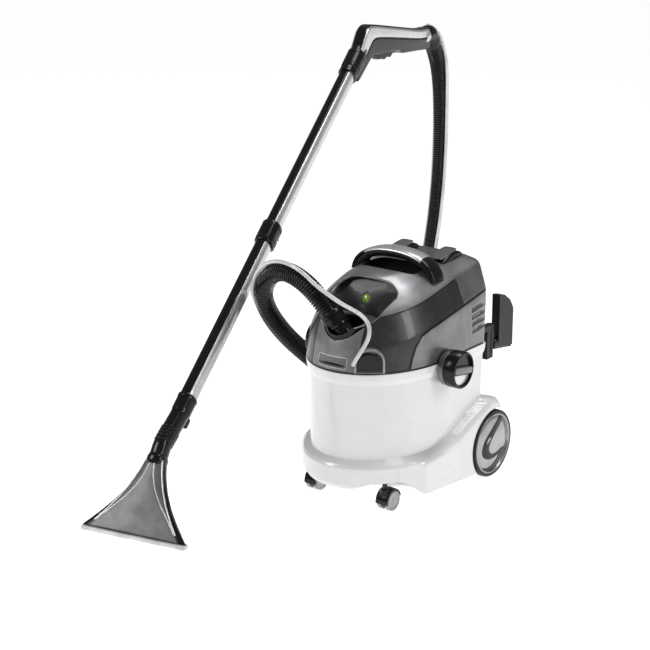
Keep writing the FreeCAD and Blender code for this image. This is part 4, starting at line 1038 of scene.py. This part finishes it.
latchPlaces = {"tubeLatch": (0.0, "lower_latch", "latch_mid"),
               "handleLatch": (500.0, "upper_latch", "latch_high")}
latchLine = rounded([(-11, -24), (-11, -31), (-6, -35), (8, -35), (11, -32), (11, -24)], 0.16)
lugLine = rounded([(-16, -20), (-16, -30), (-12.6, -31.6), (-12.6, -20)], 0.12)
for name, (at, node, body) in latchPlaces.items():
    place = lambda a, h, b, at=at: onTube(at + a, h, b)
    meshPiece(name, *pillow(latchLine, -6, 6, 1.2, place), looks["black_matte"], body, [node], 50)
    for half, flip in (("Front", 1), ("Rear", -1)):
        lug = lugLine * [flip, 1]
        meshPiece(name + "Lug" + half, *pillow(lug if flip > 0 else lug[::-1], -9, 9, 1.0, place),
                  looks["black_trim"], "head", (), 50)
print("stage: tubes")


# ---- floor nozzle ----

nozzleSizes = {"angle": 52.0, "length": 145.0, "lift": 9.0}
nozzleStations = {"x": (0, 14, 34, 60, 90, 120, 145), "half": (112.3, 99, 81, 60, 41, 27, 19),
                  "deep": (7, 8, 9, 11, 13, 15, 16)}
tilt = math.radians(nozzleSizes["angle"])


def onNozzle(along, side, up):
    v = along * math.cos(tilt) - up * math.sin(tilt)
    z = nozzleSizes["lift"] + along * math.sin(tilt) + up * math.cos(tilt)
    return inWand(v, side, z)


def flareRows(grow, halfTurn, rows=60, shape=2.6):
    # superellipse sections whose width follows a smoothed line through the stations
    at = np.linspace(0.5, nozzleSizes["length"], rows)
    half = np.interp(at, nozzleStations["x"], nozzleStations["half"])
    kernel = np.hanning(11)
    half = np.convolve(np.pad(half, 5, mode="reflect", reflect_type="odd"), kernel / kernel.sum(),
                       "valid") + grow
    deep = np.interp(at, nozzleStations["x"], nozzleStations["deep"]) + grow
    turn = np.linspace(halfTurn[0], halfTurn[1], 60)
    across = np.sign(np.cos(turn)) * np.abs(np.cos(turn)) ** (2 / shape)
    up = np.sign(np.sin(turn)) * np.abs(np.sin(turn)) ** (2 / shape)
    points = onNozzle(at[:, None] + 0 * across, half[:, None] * across, deep[:, None] * up)
    return points


for name, turns, look, node, grow in (("nozzleWindow", (0.62, math.pi - 0.62), "window_clear",
                                       "nozzle_window", 0.0),
                                      ("nozzleBack", (math.pi - 0.6, 2 * math.pi + 0.6), "black_trim",
                                       "nozzle_back", 0.0)):
    rows = flareRows(grow, turns)
    points, faces = clip(rows.reshape(-1, 3), gridFaces(*rows.shape[:2]), lambda p: p[:, 2] - 9.0)
    thicken(meshPiece(name, points, faces, looks[look], "head", [node], 40), 2.0, 0.4)


def beadAlong(name, line, radius, look, body="head", around=12):
    line = np.asarray(line, float)
    return meshPiece(name, *ringStack(alongPath(line, np.full(len(line), radius), around)), look, body, (),
                     60)


rows = flareRows(0.3, (0.6, math.pi - 0.6))
for edge, column in (("Right", -1), ("Left", 0)):
    beadAlong("nozzleBead" + edge, rows[5:, column], 1.7, looks["silver_plastic"])
ridge = np.linspace(14, 138, 40)
for k, spread in enumerate((-1, 1)):
    half = np.interp(ridge, nozzleStations["x"], nozzleStations["half"])
    spread = spread * (0.5 + 0.34 * np.cos(math.pi * (ridge - 14) / 150))
    deep = np.interp(ridge, nozzleStations["x"], nozzleStations["deep"])
    beadAlong("nozzleRidge%d" % k, onNozzle(ridge, half * spread,
                                            deep * (1 - np.abs(spread) ** 2.6) ** (1 / 2.6)), 1.3,
                                            looks["silver_plastic"])
lipLine = rounded([(-8, 0.2), (10, 0.2), (10, 6.6), (7, 9.4), (-5, 9.4), (-8, 6.6)], 0.2)
lipPlace = lambda a, h, b: inWand(a, h, b)
meshPiece("nozzleLip", *pillow(lipLine, -112.3, 112.3, 2.4, lipPlace), looks["lip_white"], "head",
          ["nozzle_lip"], 50)
neckStart, neckTurn = onNozzle(np.array(146.0), 0, 0), onNozzle(np.array(178.0), 0, 0)
neckEnd = onTube(np.array(-452.0), 0, 0)
neckLine = smoothLine([onNozzle(np.array(136.0), 0, 0), neckStart, onNozzle(np.array(163.0), 0, 0), neckTurn,
                       neckTurn * 0.5 + neckEnd * 0.5, neckEnd, onTube(np.array(-430.0), 0, 0),
                       onTube(np.array(-412.0), 0, 0)], 90)


def ovalAlong(name, line, width, depth, look, stands=(), body="head", around=56, power=2.3, sharp=42):
    # squarish ovals square to a line that stays in the wand's plane
    line = np.asarray(line, float)
    run = np.gradient(line, axis=0)
    run /= np.linalg.norm(run, axis=1, keepdims=True)
    up = np.cross(run, wandSide)
    turn = np.linspace(0, 2 * math.pi, around, endpoint=False)
    across = np.sign(np.cos(turn)) * np.abs(np.cos(turn)) ** (2 / power)
    high = np.sign(np.sin(turn)) * np.abs(np.sin(turn)) ** (2 / power)
    loops = (line[:, None] + (across[None] * np.asarray(width)[:, None] / 2)[..., None] * wandSide
             + (high[None] * np.asarray(depth)[:, None] / 2)[..., None] * up[:, None])
    return meshPiece(name, *ringStack(loops), look, body, stands, sharp)


share = np.linspace(0, 1, 90)
neckWide = 33.0 + 3.0 * smoothStep(share, 0.72,
                                   0.80) + 5.0 * np.exp(-((share - 0.06) /
                                                          0.05) ** 4) + 1.6 * np.exp(-((share - 0.98) /
                                                          0.02) ** 4)
neckDeep = neckWide + 6.0
ovalAlong("nozzleNeck", neckLine, neckWide, neckDeep, looks["black_trim"], ["nozzle_neck"])
for at in (0.30, 0.345, 0.39, 0.435, 0.48):
    k = int(at * 89)
    ring = neckLine[k - 1:k + 2]
    ovalAlong("neckRib%d" % k, smoothLine(ring, 5), np.array([33, 35.4, 36, 35.4, 33.0]),
              np.array([39, 41.4, 42, 41.4, 39.0]), looks["black_trim"])
place = lambda a, h, b: onTube(-430.0 + a, h, b)
meshPiece("nozzleCatch", *pillow(rounded([(-31, -26.8), (-31, -33), (-27, -36), (-13, -36), (-9, -33),
                                          (-9, -26.8)], 0.16), -6, 6, 1.2, place),
          looks["black_matte"], "latch_low", ["nozzle_latch"], 50)
jetLine = [onNozzle(np.array(a), 0, b) for a, b in ((5.0, -18.0), (12.0, -18.0), (22.0, -18.2), (30.0, -18.4),
                                                    (46.0, -18.4))]
tubeAlong("sprayJet", list(zip(jetLine, (2.2, 3.0, 5.6, 6.6, 5.4))), looks["black_matte"], ["spray_jet"])
print("stage: nozzle")


# ---- pistol handle ----

gripShapes = {
    "gripTop": [(900, 737), (948, 770), (979, 812), (990, 820), (1004, 823.5), (1030, 821), (1160, 801),
                (1286, 781.5), (1344, 780)],
    "bandLow": [(1344, 760), (1286, 762), (1160, 780), (1034, 796), (1012, 791), (1000, 782), (926, 722)]}
upperLine = gripShapes["gripTop"]
bandOutline = rounded(upperLine + gripShapes["bandLow"], 0.18, 3)
bodyOutline = rounded([(925, 724), (1000, 784), (1012, 793), (1034, 797), (1286, 764), (1344, 762),
                       (1344, 731), (1240, 738), (1182, 741),
                       (1166, 750), (1100, 754), (1020, 757), (1008, 752), (978, 733), (940, 708)], 0.14, 3)
spineOutline = rounded([(903, 741), (948, 773), (978, 814), (990, 823.5), (1004, 827), (1032, 824.5),
                        (1286, 785), (1344, 783.5), (1344, 776),
                        (1286, 777), (1032, 815), (1008, 816), (996, 810), (956, 762), (910, 730)], 0.14, 3)
wandPlace = lambda a, h, b: inWand(a, h, b)
meshPiece("gripBand", *pillow(bandOutline, -15.5, 15.5, 4.6, wandPlace, 7), looks["silver_plastic"], "head",
          ["handle_top"], 60)
meshPiece("gripSpine", *pillow(spineOutline, -11.5, 11.5, 2.4, wandPlace, 6), looks["black_trim"], "head", (),
          60)
meshPiece("gripBody", *pillow(bodyOutline, -14.2, 14.2, 5.0, wandPlace, 7), looks["black_trim"], "head",
          ["handle_body"], 60)
wavy = np.linspace(0, 1, 60)
triggerLow = np.stack([1044 + 108 * wavy, 750 - 8.5 * np.sin(math.pi * wavy) ** 0.7 + 2.4 *
                       np.cos(2 * math.pi * 3.5 * wavy)], 1)
triggerOutline = np.vstack([triggerLow, [(1154, 756), (1150, 762), (1046, 764), (1042, 758)]])
meshPiece("triggerLever", *pillow(triggerOutline, -8.5, 8.5, 2.6, wandPlace, 6), looks["black_matte"],
          "trigger", ["spray_trigger"], 60)
limbLine = smoothLine([onTube(np.array(at), 0, 0) for at in (460.0, 480.0, 500.0, 520.0, 545.0)], 24)
ovalAlong("gripSocket", limbLine, np.linspace(39, 31, 24), np.linspace(46, 40, 24), looks["black_trim"])

# rear hump: a silver ring, then the turning cuff that points down the hose
cuffMouth = np.array(hoseRoute[-1], float)
cuffWay = np.array(hoseRoute[-2], float) - cuffMouth
cuffWay /= np.linalg.norm(cuffWay)
cuffKnee = cuffMouth - cuffWay * 38
cuffStart = inWand(np.array(1322.0), 0, 762.0)
cuffLine = smoothLine([cuffStart, cuffStart * 0.55 + cuffKnee * 0.45, cuffKnee - wandAlong * 4,
                       cuffKnee + cuffWay * 12, cuffMouth - cuffWay * 10,
                       cuffMouth + cuffWay * 2], 60)
share = np.linspace(0, 1, 60)
cuffRadius = (18.2 + 2.4 * smoothStep(share, 0.05, 0.3) + 1.0 * smoothStep(share, 0.72, 0.76) + 0.6 *
              np.exp(-((share - 0.5) / 0.03) ** 2)
              - 2.5 * smoothStep(share, 0.975, 1.0))
tubeAlong("hoseCuff", list(zip(cuffLine, cuffRadius)), looks["black_trim"], ["hose_cuff"])
ringLine = [inWand(np.array(v), 0, z) for v, z in ((1318.0, 764.6), (1321.0, 764.2), (1326.0, 763.8),
                                                   (1334.0, 763.0), (1338.0, 762.6))]
tubeAlong("cuffRing", list(zip(ringLine, (18.0, 19.6, 20.0, 19.6, 18.0))), looks["silver_plastic"])
print("stage: handle")


# ---- spray connector, eye lens and switches ----

archSizes = {"x": 70.0, "y": -149.0, "turn": 37.5, "half": 29.0, "foot": 285.5, "spring": 304.0}
archTurn = math.radians(archSizes["turn"])


def archPlace(a, h, b):
    # a across the arch, h out of its face, b upwards
    x = archSizes["x"] + a * math.cos(archTurn) + h * math.sin(archTurn)
    y = archSizes["y"] + a * math.sin(archTurn) - h * math.cos(archTurn)
    return np.stack([x, y, b + 0 * a], -1)


def archOutline(half, foot, power=2.3):
    t = np.linspace(0, math.pi, 60)
    bow = np.stack([half * np.sign(np.cos(t)) * np.abs(np.cos(t)) ** (2 / power),
                    archSizes["spring"] + (half - 1) * np.sin(t) ** (2 / power)], 1)
    return np.vstack([[(half, foot)], bow, [(-half, foot)]])


meshPiece("connectorHood", *pillow(archOutline(29.0, 285.5), -12, 9.0, 2.2, archPlace, 6), looks["hood_grey"],
          "head", ["spray_connector"], 50)
meshPiece("connectorFace", *pillow(archOutline(24.6, 287.5), 6, 14.5, 5.0, archPlace, 8), looks["black_trim"],
          "head", (), 50)
lensTilt = math.atan2(1.0, pocket["lean"])
eyeUp = np.array([0, math.cos(lensTilt), math.sin(lensTilt)])
eyeOut = np.array([0, -math.sin(lensTilt), math.cos(lensTilt)])
eyeMiddle = np.array([0, pocket["footY"], pocket["footZ"]]) + eyeUp * 40.0
ringShape = [(0, -1.5), (12.2, -1.5), (12.2, 0.2), (11.4, 1.2), (10.2, 1.5), (9.4, 0.9), (9.0, -0.4),
             (0, -0.6)]
meshPiece("lensRing", *turned(ringShape, eyeMiddle, eyeOut, 80), looks["tube_grey"], "head", (), 40)
dome = [(8.8 * math.cos(t), -0.6 + 3.6 * math.sin(t)) for t in np.linspace(0, math.pi / 2, 12)]
meshPiece("lensDome", *turned([(0, -1.2), (8.8, -1.2)] + dome, eyeMiddle, eyeOut, 64), looks["lens_green"],
          "head", ["indicator_lens"], 50)
# painted shade: the spray key on the left is black for the dark hollow at the tray's left side; the suction
# key is grey
switchSizes = {"suction": (22.0, "suction_switch", "suction_button", "switch_grey"),
               "spray": (-26.0, "spray_switch", "spray_button", "black_trim")}
for name, (x, node, body, look) in switchSizes.items():
    crown = [(20 * math.sin(t), 419.5 + 8.3 * math.cos(t)) for t in np.linspace(math.pi / 2, 0.02, 16)]
    shape = [(0, 394), (14.6, 394), (14.6, 411), (19, 411.4), (20, 412.6), (20, 418.5)] + crown
    meshPiece(name + "Key", *turned(shape, (x, 22, 0), (0, 0, 1), 80, (1, 0, 0)), looks[look], body, [node],
              45)
print("stage: details")


# ---- studio ----

studio = {"floorHalf": 20.0, "target": (-0.0821, -0.0851, 0.3331), "eye": (1.8335, -2.607, 1.3104),
          "lens": 95.2}
floorMesh = bpy.data.meshes.new("studioFloor")
reach = studio["floorHalf"]
floorMesh.from_pydata([(-reach, -reach, 0), (reach, -reach, 0), (reach, reach, 0), (-reach, reach, 0)], [],
                      [(0, 1, 2, 3)])
floor = bpy.data.objects.new("studioFloor", floorMesh)
bpy.context.scene.collection.objects.link(floor)
paper = moulded("studioPaper", (0.6, 0.6, 0.6), 0.7, 0.0, 0.0, 0.0, 0.01)
paper.node_tree.nodes["Principled BSDF"].inputs["Emission Color"].default_value = (1.0, 1.0, 1.0, 1.0)
paper.node_tree.nodes["Principled BSDF"].inputs["Emission Strength"].default_value = 0.85
floorMesh.materials.append(paper)
world = bpy.data.worlds.new("studio")
bpy.context.scene.world = world
world.use_nodes = True
world.node_tree.nodes["Background"].inputs[0].default_value = (1.0, 1.0, 1.0, 1.0)
world.node_tree.nodes["Background"].inputs[1].default_value = 0.2


def softBox(name, place, aim, width, height, power):
    data = bpy.data.lights.new(name, "AREA")
    data.shape, data.size, data.size_y, data.energy = "RECTANGLE", width, height, power
    lamp = bpy.data.objects.new(name, data)
    lamp.location = place
    lamp.rotation_euler = (Vector(aim) - Vector(place)).to_track_quat("-Z", "Y").to_euler()
    bpy.context.scene.collection.objects.link(lamp)


bpy.context.scene.view_settings.view_transform = "Standard"
softBox("keyLight", (-1.8, -2.6, 2.4), (0, 0, 0.3), 1.0, 1.6, 46)
softBox("sideLight", (2.8, 0.2, 1.6), (0, 0, 0.25), 0.5, 1.8, 26)
softBox("topLight", (0.2, 0.8, 2.6), (0, 0.1, 0.3), 1.8, 0.8, 28)
camera = bpy.data.objects.new("camera", bpy.data.cameras.new("camera"))
bpy.context.scene.collection.objects.link(camera)
camera.location = studio["eye"]
camera.rotation_euler = (Vector(studio["target"]) - Vector(studio["eye"])).to_track_quat("-Z", "Y").to_euler()
camera.data.lens, camera.data.sensor_width, camera.data.clip_end = studio["lens"], 36.0, 60.0
bpy.context.scene.camera = camera

print("stage: studio")
